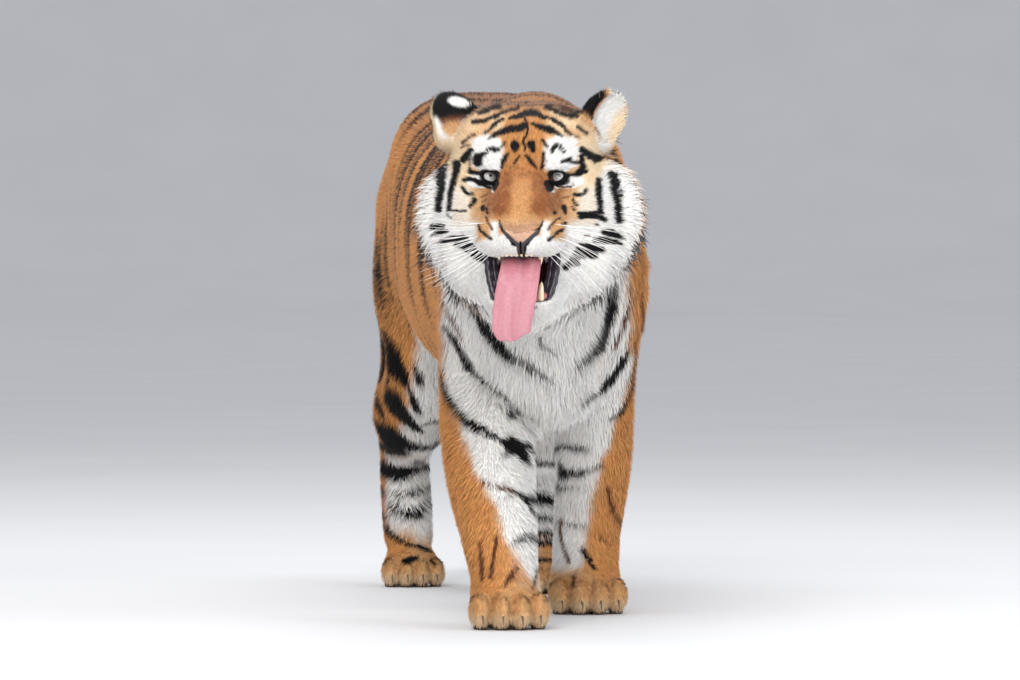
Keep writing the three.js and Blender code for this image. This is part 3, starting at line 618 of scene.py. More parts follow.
def surface_nets(
    at: Callable[[Array], Array], low: Point, high: Point, cell: float, block: int = 5, chunk: int = 150000
) -> tuple[Array, Array]:
    """Mesh the zero surface of a field, one vertex to a cell that it crosses.

    Args:
        at: The field.
        low: Lowest corner of the box.
        high: Highest corner of the box.
        cell: Width of a cell.
        block: Cells to the side of a block, which is passed over where the surface is far off.
        chunk: Nodes worked out at a time.

    Returns:
        Vertices, and quads that face outwards.
    """
    size = [int(math.ceil((b - a) / cell)) + 1 for a, b in zip(low, high)]
    coarse = [int(math.ceil(n / block)) for n in size]
    grid = np.stack(np.meshgrid(*[np.arange(n) for n in coarse], indexing="ij"), -1).reshape(-1, 3)
    middle = (np.array(low) + (grid + 0.5) * block * cell).astype(F)
    rough = at(middle).reshape(coarse)
    values = rough
    for axis in range(3):
        values = np.repeat(values, block, axis)
    values = np.ascontiguousarray(values[: size[0], : size[1], : size[2]])
    near = np.abs(rough) < block * cell * 1.25
    mask = near
    for axis in range(3):
        mask = np.repeat(mask, block, axis)
    ids = np.argwhere(mask[: size[0], : size[1], : size[2]])
    for i in range(0, len(ids), chunk):
        part = ids[i : i + chunk]
        values[tuple(part.T)] = at((np.array(low) + part * cell).astype(F))
    inside = values < 0
    cells = [n - 1 for n in size]

    def corner(a: int, b: int, c: int) -> tuple[slice, slice, slice]:
        """The nodes at one corner of every cell."""
        return slice(a, a + cells[0]), slice(b, b + cells[1]), slice(c, c + cells[2])

    corners = [(a, b, c) for a in (0, 1) for b in (0, 1) for c in (0, 1)]
    count = sum(inside[corner(*k)].astype(np.int8) for k in corners)
    active = np.argwhere((count > 0) & (count < 8))
    index = np.full(cells, -1, np.int64)
    index[tuple(active.T)] = np.arange(len(active))
    total, hits = np.zeros((len(active), 3)), np.zeros(len(active))
    for a in corners:
        for axis in range(3):
            if a[axis]:
                continue
            b = tuple(1 if k == axis else a[k] for k in range(3))
            va, vb = (values[tuple((active + np.array(k)).T)] for k in (a, b))
            cross = (va < 0) != (vb < 0)
            t = np.where(cross, va / np.where(cross, va - vb, 1), 0)
            at_edge = np.array(a, float) + t[:, None] * (np.array(b) - np.array(a))
            total += at_edge * cross[:, None]
            hits += cross
    verts = np.array(low) + (active + total / hits[:, None]) * cell
    quads = []
    for axis in range(3):
        one, two = (axis + 1) % 3, (axis + 2) % 3
        lower = [slice(1, n - 1) for n in size]
        lower[axis] = slice(0, size[axis] - 1)
        upper = list(lower)
        upper[axis] = slice(1, size[axis])
        starts, ends = inside[tuple(lower)], inside[tuple(upper)]
        edges = np.argwhere(starts != ends)
        offset = np.array([1, 1, 1])
        offset[axis] = 0
        edges = edges + offset
        outward = starts[tuple((edges - offset).T)]
        ring = []
        for d1, d2 in ((0, 0), (1, 0), (1, 1), (0, 1)):
            c = edges.copy()
            c[:, one] -= d1
            c[:, two] -= d2
            ring.append(index[tuple(c.T)])
        ring = np.stack(ring, 1)
        quads.append(np.where(outward[:, None], ring, ring[:, ::-1]))
    return verts.astype(F), np.concatenate(quads)


def sides_of(faces: Array) -> Array:
    """The sides of every face as pairs of vertices: all the first sides, then all the second ones, and so on."""
    n = faces.shape[1]
    return np.concatenate([faces[:, [i, (i + 1) % n]] for i in range(n)])


def tri_normals(verts: Array, tris: Array) -> Array:
    """Each triangle's normal, twice as long as its area."""
    return np.cross(verts[tris[:, 1]] - verts[tris[:, 0]], verts[tris[:, 2]] - verts[tris[:, 0]])


def open_loops(faces: Array) -> list[Array]:
    """The open edges of a mesh, chained into loops in their faces' own direction."""
    present = set(map(tuple, sides_of(faces).tolist()))
    follow = {a: b for a, b in present if (b, a) not in present}
    loops = []
    while follow:
        start, at = next(iter(follow.items()))
        loop = [start]
        del follow[start]
        while at != start:
            loop.append(at)
            at = follow.pop(at)
        loops.append(np.array(loop))
    return loops


def refine(verts: Array, tris: Array, want: Array) -> tuple[Array, Array]:
    """Split every edge whose two ends are both wanted, with no gaps along the border.

    Args:
        verts: Vertices.
        tris: Triangles.
        want: Whether each vertex is in the finer part.

    Returns:
        Vertices and triangles.
    """
    edges = np.sort(sides_of(tris), 1)
    unique, back = np.unique(edges, axis=0, return_inverse=True)
    split = want[unique].all(1)
    number = np.full(len(unique), -1, np.int64)
    number[split] = len(verts) + np.arange(split.sum())
    verts = np.concatenate([verts, (verts[unique[split, 0]] + verts[unique[split, 1]]) / 2])
    m = number[back.reshape(-1)].reshape(3, -1).T
    cut = (m >= 0).sum(1)
    out = [tris[cut == 0]]
    for turn in range(3):
        t, e = np.roll(tris, -turn, 1), np.roll(m, -turn, 1)
        k = (cut == 1) & (e[:, 0] >= 0)
        a, b, c, ab = t[k, 0], t[k, 1], t[k, 2], e[k, 0]
        out += [np.stack([a, ab, c], 1), np.stack([ab, b, c], 1)]
        k = (cut == 2) & (e[:, 2] < 0)
        a, b, c, ab, bc = t[k, 0], t[k, 1], t[k, 2], e[k, 0], e[k, 1]
        out += [np.stack([ab, b, bc], 1), np.stack([a, ab, bc], 1), np.stack([a, bc, c], 1)]
    k = cut == 3
    a, b, c = tris[k].T
    ab, bc, ca = m[k].T
    out += [np.stack(x, 1) for x in ((a, ab, ca), (ab, b, bc), (ca, bc, c), (ab, bc, ca))]
    return verts, np.concatenate(out)


def relax(verts: Array, tris: Array, rounds: int, amount: float) -> Array:
    """Move each vertex towards the middle of its neighbours."""
    edges = sides_of(tris)
    for _ in range(rounds):
        total, hits = np.zeros_like(verts, float), np.zeros(len(verts))
        for a, b in ((0, 1), (1, 0)):
            for axis in range(3):
                total[:, axis] += np.bincount(edges[:, a], verts[edges[:, b], axis], len(verts))
            hits += np.bincount(edges[:, a], minlength=len(verts))
        verts = (verts + amount * (total / hits[:, None] - verts)).astype(F)
    return verts


def settle(at: Callable[[Array], Array], verts: Array, rounds: int = 2, most: float = 4.0) -> tuple[Array, Array]:
    """Drop vertices on to a field's surface, and give their normals."""
    slope = verts
    for _ in range(rounds):
        value, slope = gradient(at, verts)
        length2 = np.maximum((slope**2).sum(1), 0.15)
        verts = verts - np.clip(value / length2, -most, most)[:, None] * slope
    return verts.astype(F), unit(slope)


# ---------- Markings ----------


class Tone(Enum):
    """The colours of the coat and the bare skin, in display values."""

    ORANGE = (210, 144, 84)
    BACK = (132, 100, 84)
    RUST = (142, 80, 46)
    TAN = (214, 164, 114)
    CREAM = (240, 212, 174)
    WHITE = (246, 243, 238)
    BLACK = (11, 9, 12)
    BROWN = (92, 52, 34)
    UMBER = (38, 21, 20)
    LIP = (22, 17, 25)
    FLESH = (150, 82, 84)
    LEATHER = (186, 147, 128)

    @property
    def light(self) -> Array:
        """The colour as linear light."""
        return np.array(linear(*self.value), F)


@dataclass
class Mark:
    """One mark of the coat on a plane: its path, its widths along the path, and its colour."""

    path: Sequence[tuple[float, float]]
    widths: Sequence[float] = (4.0,)
    tone: Tone = Tone.BLACK

    def cover(self, q: Array, edge: float) -> tuple[Array, Array]:
        """Find where the mark lies.

        Args:
            q: Points on the mark's plane.
            edge: Width over which the mark's border fades.

        Returns:
            The numbers of the points that it reaches, and how far it covers each, from 0 to 1.
        """
        path = np.array(self.path, float)
        most = max(self.widths) / 2 + edge
        low, high = path.min(0) - most, path.max(0) + most
        near = np.flatnonzero(((q > low) & (q < high)).all(1))
        pts = q[near]
        best = np.full(len(near), -1e3)
        spots = np.linspace(0, 1, len(self.widths)) if len(self.widths) > 1 else np.zeros(1)
        for i in range(max(len(path) - 1, 1)):
            a, b = path[i], path[min(i + 1, len(path) - 1)]
            v = b - a
            t = np.clip((pts - a) @ v / max(float(v @ v), 1e-9), 0, 1)
            share = (i + t) / max(len(path) - 1, 1)
            half = np.interp(share, spots, self.widths) / 2
            gap = np.linalg.norm(pts - a - t[:, None] * v, axis=1)
            best = np.maximum(best, half - gap)
        return near, smooth(-edge, edge, best)


def marks(rows: str, tone: Tone = Tone.BLACK, swell: float = 1.0) -> list[Mark]:
    """Read marks from short rows, such as 3,60 4,50 : 3 5, of a path and its widths.

    Args:
        rows: Rows parted by semicolons.
        tone: The colour of them all.
        swell: Scale of the widths.

    Returns:
        The marks.
    """
    out = []
    for row in rows.replace("\n", " ").split(";"):
        if ":" in row:
            path, widths = row.split(":")
            points = [tuple(float(v) for v in pair.split(",")) for pair in path.split()]
            out.append(Mark(points, tuple(float(w) * swell for w in widths.split()), tone))
    return out


FACE_MARKS = marks("""
    6,93 8,82 5,73 2,65 0,60 5,57 4,50 : 3 4 3; 14,92 24,88 35,84 49,80 58,75 65,71 : 4 10 2;
    0,88 -8,84 -21,84 -32,80 -43,76 -51,72 -59,67 : 10 10 2; -13,58 -12,52 : 12 10; 14,59 17,48 : 11 6;
    -22,46 -29,37 -32,30 -33,20 : 3 8 3; 7,40 13,32 20,24 24,19 : 5 5 2; -4,40 -9,35 -14,27 : 3;
    34,45 34,37 33,27 31,19 : 4; -29,61 -34,55 : 4; 32,66 37,60 40,55 : 4;
    -23,100 -15,103 0,107 10,109 22,107 34,101 : 5 9 5; 1,100 5,95 : 3;
    -35,99 -45,94 -52,87 -58,81 -65,76 : 5 6 3; -45,106 -35,110 -22,113 -12,115 : 4;
    -76,106 -64,110 -53,114 -42,116 : 4; -85,94 -72,96 -62,98 -53,102 -45,104 : 6;
    36,102 46,100 54,95 63,89 70,81 77,74 : 4 6 3; 33,115 44,113 54,109 64,106 74,103 86,103 : 4 6;
    87,87 95,81 103,75 : 4; -40,50 -46,49 : 6; -43,51 -50,53 -57,50 -62,44 -69,41 : 5.5; -74,36 -75,31 : 14;
    -87,48 -100,33 : 8 10; -86,38 -89,30 -90,20 -87,14 : 3; -89,14 -81,11 -71,12 -61,15 : 7 5;
    -70,9 -63,13 -54,13.5 -45,9 -41,3 -40,-6 -45,-14 : 4 5 7; -70,9 -66,2 -58,-4 -48,-8 -43,-13 : 5 7;
    -100,-1 -90,1 -80,0 -70,-7 -57,-12 -48,-15 : 6 6 3; -101,-12 -98,-20 -91,-24 -85,-24 : 5;
    -80,-33 -87,-43 : 7; -111,25 -112,13 -116,-2 -121,-18 -123,-39 -124,-48 : 11 10 8 7;
    -123,42 -126,30 -130,16 -134,0 -137,-17 -140,-33 -142,-50 : 4 7 8.5 8.5;
    49,46 50,53 54,57 59,56 63,51 68,47 : 5 6.5 6.5 5; 65,31 72,33 78,36 : 5; 78,31 86,28 93,28 : 4;
    95,38 96,28 98,20 91,11 : 7 10; 97,49 117,31 : 9 10; 91,12 103,13 : 6;
    44,-1 47,6 53,12 62,13.5 70,11 79,8 88,7 : 4 5 4; 41,-5 45,-14 : 9;
    44,-4 50,-7 60,-8 69,-4 74,1 75,7 : 5 7 5; 83,-24 92,-25 101,-23 103,-17 : 5; 81,-33 86,-39 89,-42 : 4;
    81,-44 85,-49 : 4; 123,-2 123,-14 124,-28 126,-42 126,-51 : 8 9 8 7;
    135,6 142,-2 147,-17 151,-32 154,-49 155,-69 : 5 10 10 9;
    -31,-63 -30,-70 -25,-79 -16,-88 -9,-95 -4,-100 : 2 5 8; 38,-63 37,-70 32,-79 25,-85 19,-91 12,-99 : 2 6 8;
    5,-101 5,-118 : 13 10; -9,-100 5,-102 15,-100 : 5; -64,-46 -63,-47 : 8; -55,-46 -54,-47 : 4;
    -54,-52 -53,-53 : 4; -66,-73 -61,-82 -52,-88 -44,-93 : 4; 67,-46 68,-47 : 8; 69,-53 70,-54 : 5;
    54,-52 55,-53 : 4; 69,-70 70,-71 : 4; 70,-79 63,-82 57,-88 48,-95 : 4; -127,-51 -95,-52 : 3;
    -128,-58 -120,-64 : 3; -148,-79 -136,-79 : 8; -144,-90 -128,-86 : 6;
    -135,-103 -115,-98 -92,-101 -82,-108 : 7 11 6;
    -113,-108 -98,-108 -85,-113 -78,-121 -69,-128 -60,-134 : 7 16 13 7; 90,-55 100,-55 120,-54 130,-56 : 4;
    94,-61 105,-60 120,-61 132,-66 : 7 8; 118,-75 122,-75 : 3; 132,-87 144,-90 155,-96 : 8 10 6;
    118,-101 132,-101 150,-105 : 8 11 7; 91,-110 104,-111 122,-115 130,-118 : 8;
    82,-130 92,-122 104,-119 115,-125 : 9 17 12; 70,-145 76,-138 88,-138 : 9
""", Tone.BLACK, 1.3)
FACE_BROWN = marks("""
    -81,74 -91,70 -102,60 : 5; 53,117 64,112 76,108 : 4; 68,79 85,72 92,69 : 3; -104,52 -99,55 -90,57 : 4;
    62,-12 71,-12 82,-10 : 3; -55,-60 -51,-66 -46,-72 -43,-78 : 4; 61,-62 57,-67 51,-72 48,-78 : 4;
    -100,-92 -90,-95 : 3; 100,-94 108,-93 : 4; -70,-28 -60,-24 : 3; -66,-36 -60,-33 : 3; 66,-30 74,-28 : 3
""", Tone.BROWN)
FACE_WHITE = marks("""
    -79,7 -70,0 -60,-8 -51,-12 : 6 7 5; 54,-12 65,-9 75,-3 83,1 : 6 7 5; -49,-18 -47,-19 : 4;
    48,-18 50,-19 : 4
""", Tone.WHITE)
FRONT_MARKS = marks("""
    -72,570 -58,560 -47,545 -38,525 -28,503 -15,485 -7,472 2,460 20,452 35,440 50,430 62,420 70,415 : 6 11 13
        14 12 9 7 3;
    -103,505 -92,490 -80,470 -72,458 -62,443 -50,425 -38,412 -20,400 0,395 10,383 22,368 : 5 9 12 15 14 10 5
        3;
    -128,560 -121,500 -116,450 -112,420 -106,395 -97,375 -85,358 -72,344 -55,335 -38,325 -22,318 : 4 5 6 7 9
        12 11 6;
    -12,311 0,308 12,300 22,285 32,272 : 8 18 18 11 5; 28,210 36,195 42,185 : 4;
    8,228 22,218 38,212 46,208 : 5 7 10;
    152,585 160,570 163,555 160,535 155,515 150,500 143,480 133,465 122,452 108,442 100,435 : 8 21 21 17 13
        12 10 7 3;
    195,468 190,455 182,440 172,425 160,410 148,400 135,395 120,390 108,380 : 3 8 9 10 9 7 3;
    80,262 90,258 100,258 115,257 130,262 145,268 160,272 : 26 16 9 8 6 4 3; 190,372 180,358 168,352 : 5 6 4;
    47,497 50,480 62,470 72,458 : 3 4 3; 122,130 130,118 137,108 143,98 : 6 8 4
""", Tone.BLACK, 1.45)
FRONT_BROWN = marks("""
    -106,545 -93,525 -82,505 -72,485 : 3 5 3; 206,470 207,440 203,410 197,385 190,372 : 3 4 5;
    195,570 197,555 193,530 186,510 180,490 172,470 : 3 5 4; -47,243 -30,238 -10,233 8,228 : 4 6;
    -50,140 -47,110 -46,80 : 5; -22,150 -27,120 -32,85 : 5; 12,100 5,90 -2,78 -8,70 : 5 8 4;
    45,95 42,80 38,65 : 4; 88,180 86,160 88,145 92,130 97,115 99,108 : 4;
    163,235 167,215 172,195 182,178 188,165 : 5; 145,152 155,148 170,143 : 4; 108,85 107,70 : 5;
    -150,600 -146,560 -143,520 -138,480 : 3 5 3; -138,600 -134,550 -131,500 -127,460 : 3 5 3;
    -165,600 -163,560 -158,520 : 3 4 3; 215,560 217,520 216,480 211,440 : 3 5 4
""", Tone.BROWN, 1.35)
HIND_MARKS = marks("""
    -240,522 -232,500 -222,485 -210,470 -200,455 -190,440 -180,425 -170,408 : 12 30 34 36 34 26 20 8;
    -243,425 -234,402 -222,380 -208,355 : 16 18 15 6; -224,425 -212,418 -203,415 : 14 18 12;
    -200,400 -195,388 -185,370 -172,355 -160,343 -148,333 : 8 22 22 16 12 5;
    -158,436 -153,425 -147,412 : 6 9 10; -165,400 -160,385 -155,372 -147,362 : 4 9 10 4;
    -238,370 -230,345 -220,325 -212,305 : 14 17 14;
    -216,340 -200,326 -185,315 -165,308 -140,305 -130,303 : 14 26 22 12 6 3;
    -213,318 -203,303 -190,298 -178,298 : 14 16 12 6;
    -215,278 -205,265 -192,259 -175,260 -160,265 -145,268 -128,275 : 14 24 24 16 9 3;
    -205,225 -190,222 -170,224 -155,228 -140,232 -133,237 : 3 5 8 8 4;
    -200,212 -190,205 -175,200 -160,198 -145,205 -132,216 : 5 5 4 5 3;
    -201,195 -185,190 -170,187 -155,186 -147,192 -139,199 : 8 11 11 8 4;
    -207,166 -197,155 -185,147 -172,141 -160,138 : 8 9 7 4; -155,137 -143,133 -132,127 : 6 6 3;
    -175,112 -165,115 -155,118 : 9 11 6; -133,113 -125,107 : 5; 40,278 60,276 90,272 : 8;
    35,218 60,212 95,204 : 16 14 10; 35,184 60,181 95,176 : 8; 35,160 60,157 95,152 : 8;
    35,140 60,142 95,140 : 10; 35,112 60,113 95,110 : 6
""", Tone.BLACK, 1.25)
ORANGE_RIGHT = ((60, 44), (80, 36), (100, 20), (130, 2), (150, -12), (200, -24), (250, -55), (300, -74), (350, -90),
                (400, -108), (450, -112), (500, -112), (560, -106), (600, -112), (700, -110))
ORANGE_LEFT = ((60, 60), (80, 70), (100, 118), (150, 128), (200, 135), (250, 150), (280, 158), (350, 175), (400, 196),
               (450, 200), (500, 200), (550, 196), (600, 190))  # height; where orange begins, on the facing plane


EYE_AWAY, PLANE_AWAY, EYE_HEIGHT = 10750.0, 10500.0, 635.0  # the eye that the front marks are drawn for
EYE_COS, EYE_SIN, EYE_SHIFT = 0.9945, 0.1045, 55.0  # it stands six degrees off the animal's own axis


def facing(p: Array) -> Array:
    """Places across and up, as they lie to an eye ten metres ahead that the tiger walks towards."""
    near = PLANE_AWAY / (EYE_AWAY + p[:, 1])
    across = (EYE_COS * p[:, 0] - EYE_SIN * p[:, 1] + EYE_SHIFT) * near
    return np.stack([across, EYE_HEIGHT + (p[:, 2] - EYE_HEIGHT) * near], 1)


def flank_marks(seed: int) -> list[Mark]:
    """The stripes of one side, along Y and round the girth from the spine.

    Args:
        seed: Number that picks this side's own stripes.

    Returns:
        The marks, each a thin blade that tapers at both ends.
    """
    rng = np.random.default_rng(seed)
    out = []

    def stripe(y: float, top: float, end: float, width: float, bend: float, lean: float) -> None:
        """Add one stripe down the side."""
        g = np.linspace(top, end, 9)
        wave = np.cumsum(rng.normal(0, 2.0, 9))
        ys = y + bend * np.sin(math.pi * np.clip(g / 520, 0, 1)) + lean * g + wave
        first = width * (0.8 if top < 30 else 0.12)
        out.append(Mark(list(zip(ys, g)), (first, width * 0.8, width, width * 0.9, width * 0.6, 2.0), Tone.UMBER))

    y = -262.0
    while y < 1262:
        haunch = y > 800
        reach = rng.uniform(300, 470) if not haunch else rng.uniform(190, 290)
        bend, lean = rng.uniform(12, 30), rng.uniform(-0.05, 0.05)
        width = rng.uniform(30, 41)
        top = rng.choice((-12.0, -12.0, 16.0))
        stripe(y, top, reach, width, bend, lean)
        if rng.random() < 0.75:
            stripe(y + rng.uniform(42, 49), rng.uniform(-12, 90), reach * rng.uniform(0.8, 1.05), width * 0.62, bend,
                   lean - 0.02)
        if not haunch and rng.random() < 0.6:
            stripe(y + rng.uniform(8, 40), rng.uniform(400, 450), rng.uniform(560, 650), rng.uniform(12, 18), 0, 0.04)
        y += rng.uniform(76, 98)
    return out


def haunch_marks(seed: int, pivot: tuple[float, float]) -> list[Mark]:
    """The stripes of one thigh, fanning back from in front of the knee, on Y and Z."""
    rng = np.random.default_rng(seed)
    out = []
    for k in range(10):
        turn = math.radians(2 + 9.2 * k + rng.uniform(-2, 2))
        near, far = rng.uniform(86, 130), rng.uniform(300, 350) + 7 * k
        radii = np.linspace(near, far, 7)
        turns = turn + 0.10 * np.sin(np.linspace(0, math.pi, 7)) * rng.uniform(-1, 1)
        path = [(pivot[0] + r * math.cos(a), pivot[1] + r * math.sin(a)) for r, a in zip(radii, turns)]
        width = rng.uniform(13, 20)
        out.append(Mark(path, (2, width * 0.7, width, width * 0.8, 2)))
        if rng.random() < 0.6:
            inner = [(a + rng.uniform(-3, 3), b - 19 - rng.uniform(0, 5)) for a, b in path[2:6]]
            out.append(Mark(inner, (2, width * 0.5, width * 0.45, 1)))
    return out


def bands(phase: Array, share: Array, edge: float) -> Array:
    """Bars across a phase that counts them: 1 on the bars.

    Args:
        phase: A number that grows by 1 from one bar to the next.
        share: The part of each step that is dark.
        edge: Softness of the border, as a part of a step.

    Returns:
        The cover.
    """
    gap = np.abs(phase - np.round(phase)) * 2
    return smooth(edge, -edge, gap - share)


@dataclass
class Markings:
    """The colours of the whole coat, which the skin and every tuft share."""

    edge: float = 1.1
    stripe_edge: float = 1.6
    ragged: float = 1.3

    def lay(self, colour: Array, q: Array, weight: Array, group: Sequence[Mark], edge: float) -> None:
        """Paint a group of marks over the colours, in place."""
        for mark in group:
            near, cover = mark.cover(q, edge)
            colour[near] = mix(colour[near], mark.tone.light, cover * weight[near])

    def lay_on(self, at: Array, colour: Array, q: Array, weight: Array, group: Sequence[Mark]) -> None:
        """Paint stripes over the numbered points only, in place."""
        own = colour[at]
        self.lay(own, q[at], weight[at], group, self.stripe_edge)
        colour[at] = own

    def head(self, p: Array, n: Array, colour: Array, weight: Array) -> None:
        """Paint the head's ground colour and marks."""
        q = to_head(p)
        m = n @ HEAD_AXES
        s, f, u = q.T
        a = np.abs(s - 2)
        ground = fill(Tone.TAN.light, len(p))
        top = smooth(66, 84, u) * smooth(24, 44, a) * (0.55 + 0.4 * noise(q, 16, 15))
        ground = mix(ground, Tone.CREAM.light, top)
        ground = mix(ground, Tone.ORANGE.light, smooth(96, 124, u) * 0.7)
        centre = smooth(40, 26, a) * smooth(10, 40, u) * smooth(112, 92, u)
        ground = mix(ground, Tone.ORANGE.light * 0.86, centre)
        ground = mix(ground, Tone.BACK.light, smooth(-40, -110, f) * smooth(40, 90, u) * 0.8)
        ground = mix(ground, Tone.CREAM.light, smooth(72, 100, a) * smooth(82, 62, u) * smooth(-150, -60, f))
        ground = mix(ground, Tone.ORANGE.light, smooth(46, 36, a) * smooth(42, 18, u) * 0.85)
        rust = smooth(9, 24, a) * smooth(74, 50, a) * smooth(26, -12, u) * smooth(-68, -46, u)
        ground = mix(ground, Tone.TAN.light, smooth(22, 4, a) * smooth(10, -24, u) * 0.45)
        rust = rust * (0.95 + 0.5 * noise(q, 9, 16)) + 0.5 * smooth(34, 30, a) * smooth(30, 0, np.abs(u - 14))
        ground = mix(ground, Tone.RUST.light, np.clip(rust, 0, 1) * 0.85)
        above = np.hypot((a - 58 - 0.1 * (u - 40)) / 33, (u - 42) / 31) + 0.14 * noise(q, 8, 28)
        beside = np.hypot((a - 72) / 26, (u + 2) / 12)
        brow = np.maximum(smooth(1.12, 0.88, above), smooth(1.1, 0.9, beside) * smooth(50, 60, a))
        ground = mix(ground, Tone.WHITE.light, brow * smooth(28, 40, a))
        cheek = smooth(82, 98, a) * smooth(2, -26, u) * (0.55 + 0.45 * smooth(112, 128, a))
        cheek = np.maximum(cheek, smooth(118, 128, a) * smooth(40, 0, u))
        muzzle = smooth(31, 38, a) * smooth(-60, -70, u) * smooth(52, 45, a)
        muzzle = np.maximum(smooth(-82, -94, u + 0.3 * (a - 40)), muzzle)
        under = smooth(-58, -84, u) * smooth(66, 76, a)
        ground = mix(ground, Tone.WHITE.light, np.maximum(np.maximum(cheek, muzzle * (f > 60)), under))
        ground = mix(ground, Tone.WHITE.light, smooth(-96, -112, u))
        half = np.interp(-u, (50, 67, 72, 80, 88, 95), (26, 33, 33, 30, 22, 12))
        pad = smooth(-95, -89, u) * smooth(4, -4, a - half)
        bare = mix(Tone.TAN.light[None], Tone.LEATHER.light, 0.6 * smooth(-56, -78, u))
        ground = mix(ground, bare, pad * smooth(-46, -66, u))
        fleck = smooth(0.28, 0.5, noise(q, 3.2, 19)) * smooth(46, 36, a) * smooth(-58, -40, u) * smooth(52, 30, u)
        ground = mix(ground, Tone.BROWN.light, fleck * (0.22 + 0.4 * smooth(-4, 14, u)))
        ground = ground * (1 + 0.16 * noise(q, 2.4, 20) * smooth(-40, 0, f))[:, None]
        side = smooth(-84, -124, f) * smooth(0.1, 0.5, np.abs(m[:, 0]))
        side = side * smooth(-130, -70, u + 0.3 * (f + 120)) * smooth(60, 100, np.abs(s))
        ground = mix(ground, Tone.ORANGE.light, side)
        colour[:] = mix(colour, ground, weight)
        shake = np.stack([s + self.ragged * noise(p, 5, 3), u + self.ragged * noise(p, 5, 4)], 1)
        front = weight * smooth(-132, -104, f) * smooth(-0.4, 0.0, m[:, 1] + 0.5 * smooth(60, 90, u))
        for group in (FACE_WHITE, FACE_BROWN, FACE_MARKS):
            self.lay(colour, shake, front, group, self.edge)
        eye = np.hypot((a - 56) / 18, (u - 5 + 0.25 * (a - 54)) / 12)
        colour[:] = mix(colour, Tone.BLACK.light, smooth(1.08, 0.96, eye) * smooth(-30, -15, f) * weight)
        crown = smooth(-58, -84, f) * smooth(0.2, 0.5, m[:, 2]) * smooth(30, 60, u)
        arc = (f + 0.0022 * s * s + 7 * noise(p, 34, 11)) / 31
        cut = 0.34 + 0.2 * noise(p, 52, 12)
        jowl = 0.65 * smooth(-104, -140, f) * smooth(0.25, 0.55, np.abs(m[:, 0])) * smooth(62, 40, u)
        sweep = (f + 0.18 * u + 8 * noise(p, 40, 13)) / 40
        swept = bands(sweep, 0.30 + 0.24 * noise(p, 60, 14), 0.10)
        dark = np.maximum(crown * bands(arc, cut, 0.10), jowl * swept)
        colour[:] = mix(colour, Tone.BLACK.light, dark * smooth(0.8, 1.0, weight))

    def ears(self, p: Array, n: Array, colour: Array) -> None:
        """Paint the ears: black backs with a white spot, and pale insides with dark edges."""
        for ear in (EAR_LEFT, EAR_RIGHT):
            q = ear.local(p)
            m = n @ ear.axes
            w = smooth(-16, 4, q[:, 2]) * (ear.from_middle(q) < 78)
            back = smooth(0.15, -0.25, m[:, 1] + 0.006 * (14 - q[:, 1]))
            rim = q[:, 0] > 0
            spot = smooth(1.15, 0.85, np.hypot((q[:, 0] - 2) / 20, (q[:, 2] - 64) / 12))
            tone = mix(fill(Tone.BLACK.light, len(p)), Tone.WHITE.light, spot)
            tone = mix(tone, Tone.BROWN.light, smooth(38, 26, q[:, 2] + 3 * noise(q, 6, 17)))
            tone = mix(tone, Tone.TAN.light, smooth(30, 8, q[:, 2] + 5 * noise(q, 6, 18)) * 0.9)
            off, high = np.abs(q[:, 0]), q[:, 2]
            inner = mix(fill(Tone.CREAM.light, len(p)), Tone.WHITE.light, smooth(34, 14, off))
            inner = mix(inner, Tone.TAN.light, rim * smooth(14, 22, off) * smooth(10, 22, high))
            inner = mix(inner, Tone.BLACK.light, rim * smooth(23, 28, off) * smooth(26, 40, high))
            outer_rim = ~rim * smooth(16, 26, off) * (smooth(46, 32, high) if ear.base[0] < 0 else 1.0)
            tone = mix(tone, Tone.WHITE.light, outer_rim * smooth(-0.75, -0.45, m[:, 1]))
            colour[:] = mix(colour, mix(inner, tone, back), w)

    def body(self, p: Array, n: Array, parts: Parts, colour: Array) -> None:
        """Paint the trunk, neck, legs and tail."""
        x, y, z = p.T
        side = np.where(x < 0, -1.0, 1.0)
        girth = np.abs(round_trunk(p)) / math.pi * HALF_GIRTH
        back = smooth(230, 50, girth + 30 * noise(p, 90, 26)) * (0.55 + 0.45 * smooth(-200, 0, y))
        ground = mix(fill(Tone.ORANGE.light, len(p)), Tone.BACK.light, back * 0.8)
        ground = mix(ground, Tone.TAN.light, smooth(470, 540, girth) * 0.8)
        limbs = parts.limbs
        on_leg = smooth(-24, 20, parts.trunk - limbs)
        belly = smooth(500, 545, girth + 22 * noise(p, 60, 21) + 40 * smooth(560, 760, y)) * (1 - on_leg)
        ground = mix(ground, Tone.WHITE.light, belly)
        outward = n[:, 0] * side
        inner = smooth(0.05, -0.45, outward) * on_leg * smooth(60, 110, z)
        behind = smooth(0.35, 0.85, n[:, 1]) * on_leg * 0.45
        ground = mix(ground, Tone.ORANGE.light, on_leg * smooth(-0.1, 0.4, outward))
        ground = mix(ground, Tone.CREAM.light, behind * smooth(520, 300, z))
        ground = mix(ground, Tone.WHITE.light, inner * smooth(700, 560, z))
        seen = facing(p)
        v, h = seen.T
        right = np.interp(h, *zip(*ORANGE_RIGHT))
        left = np.interp(h, *zip(*ORANGE_LEFT))
        bib = smooth(-9, 11, v - right + 5 * noise(p, 22, 22)) * smooth(11, -9, v - left + 7 * noise(p, 30, 23))
        ahead = smooth(-0.12, 0.30, -n[:, 1]) * smooth(330, 250, y)
        ahead *= smooth(30, -30, z - 690 + 0.45 * (y + 250) + 18 * noise(p, 40, 25))
        ahead *= np.maximum(np.maximum(on_leg, smooth(40, -80, y)), smooth(0.25, 0.5, -n[:, 1]))
        fore_zone = ahead * smooth(60, 90, z + 14 * noise(p, 20, 24))
        ground = mix(ground, Tone.WHITE.light, bib * fore_zone)
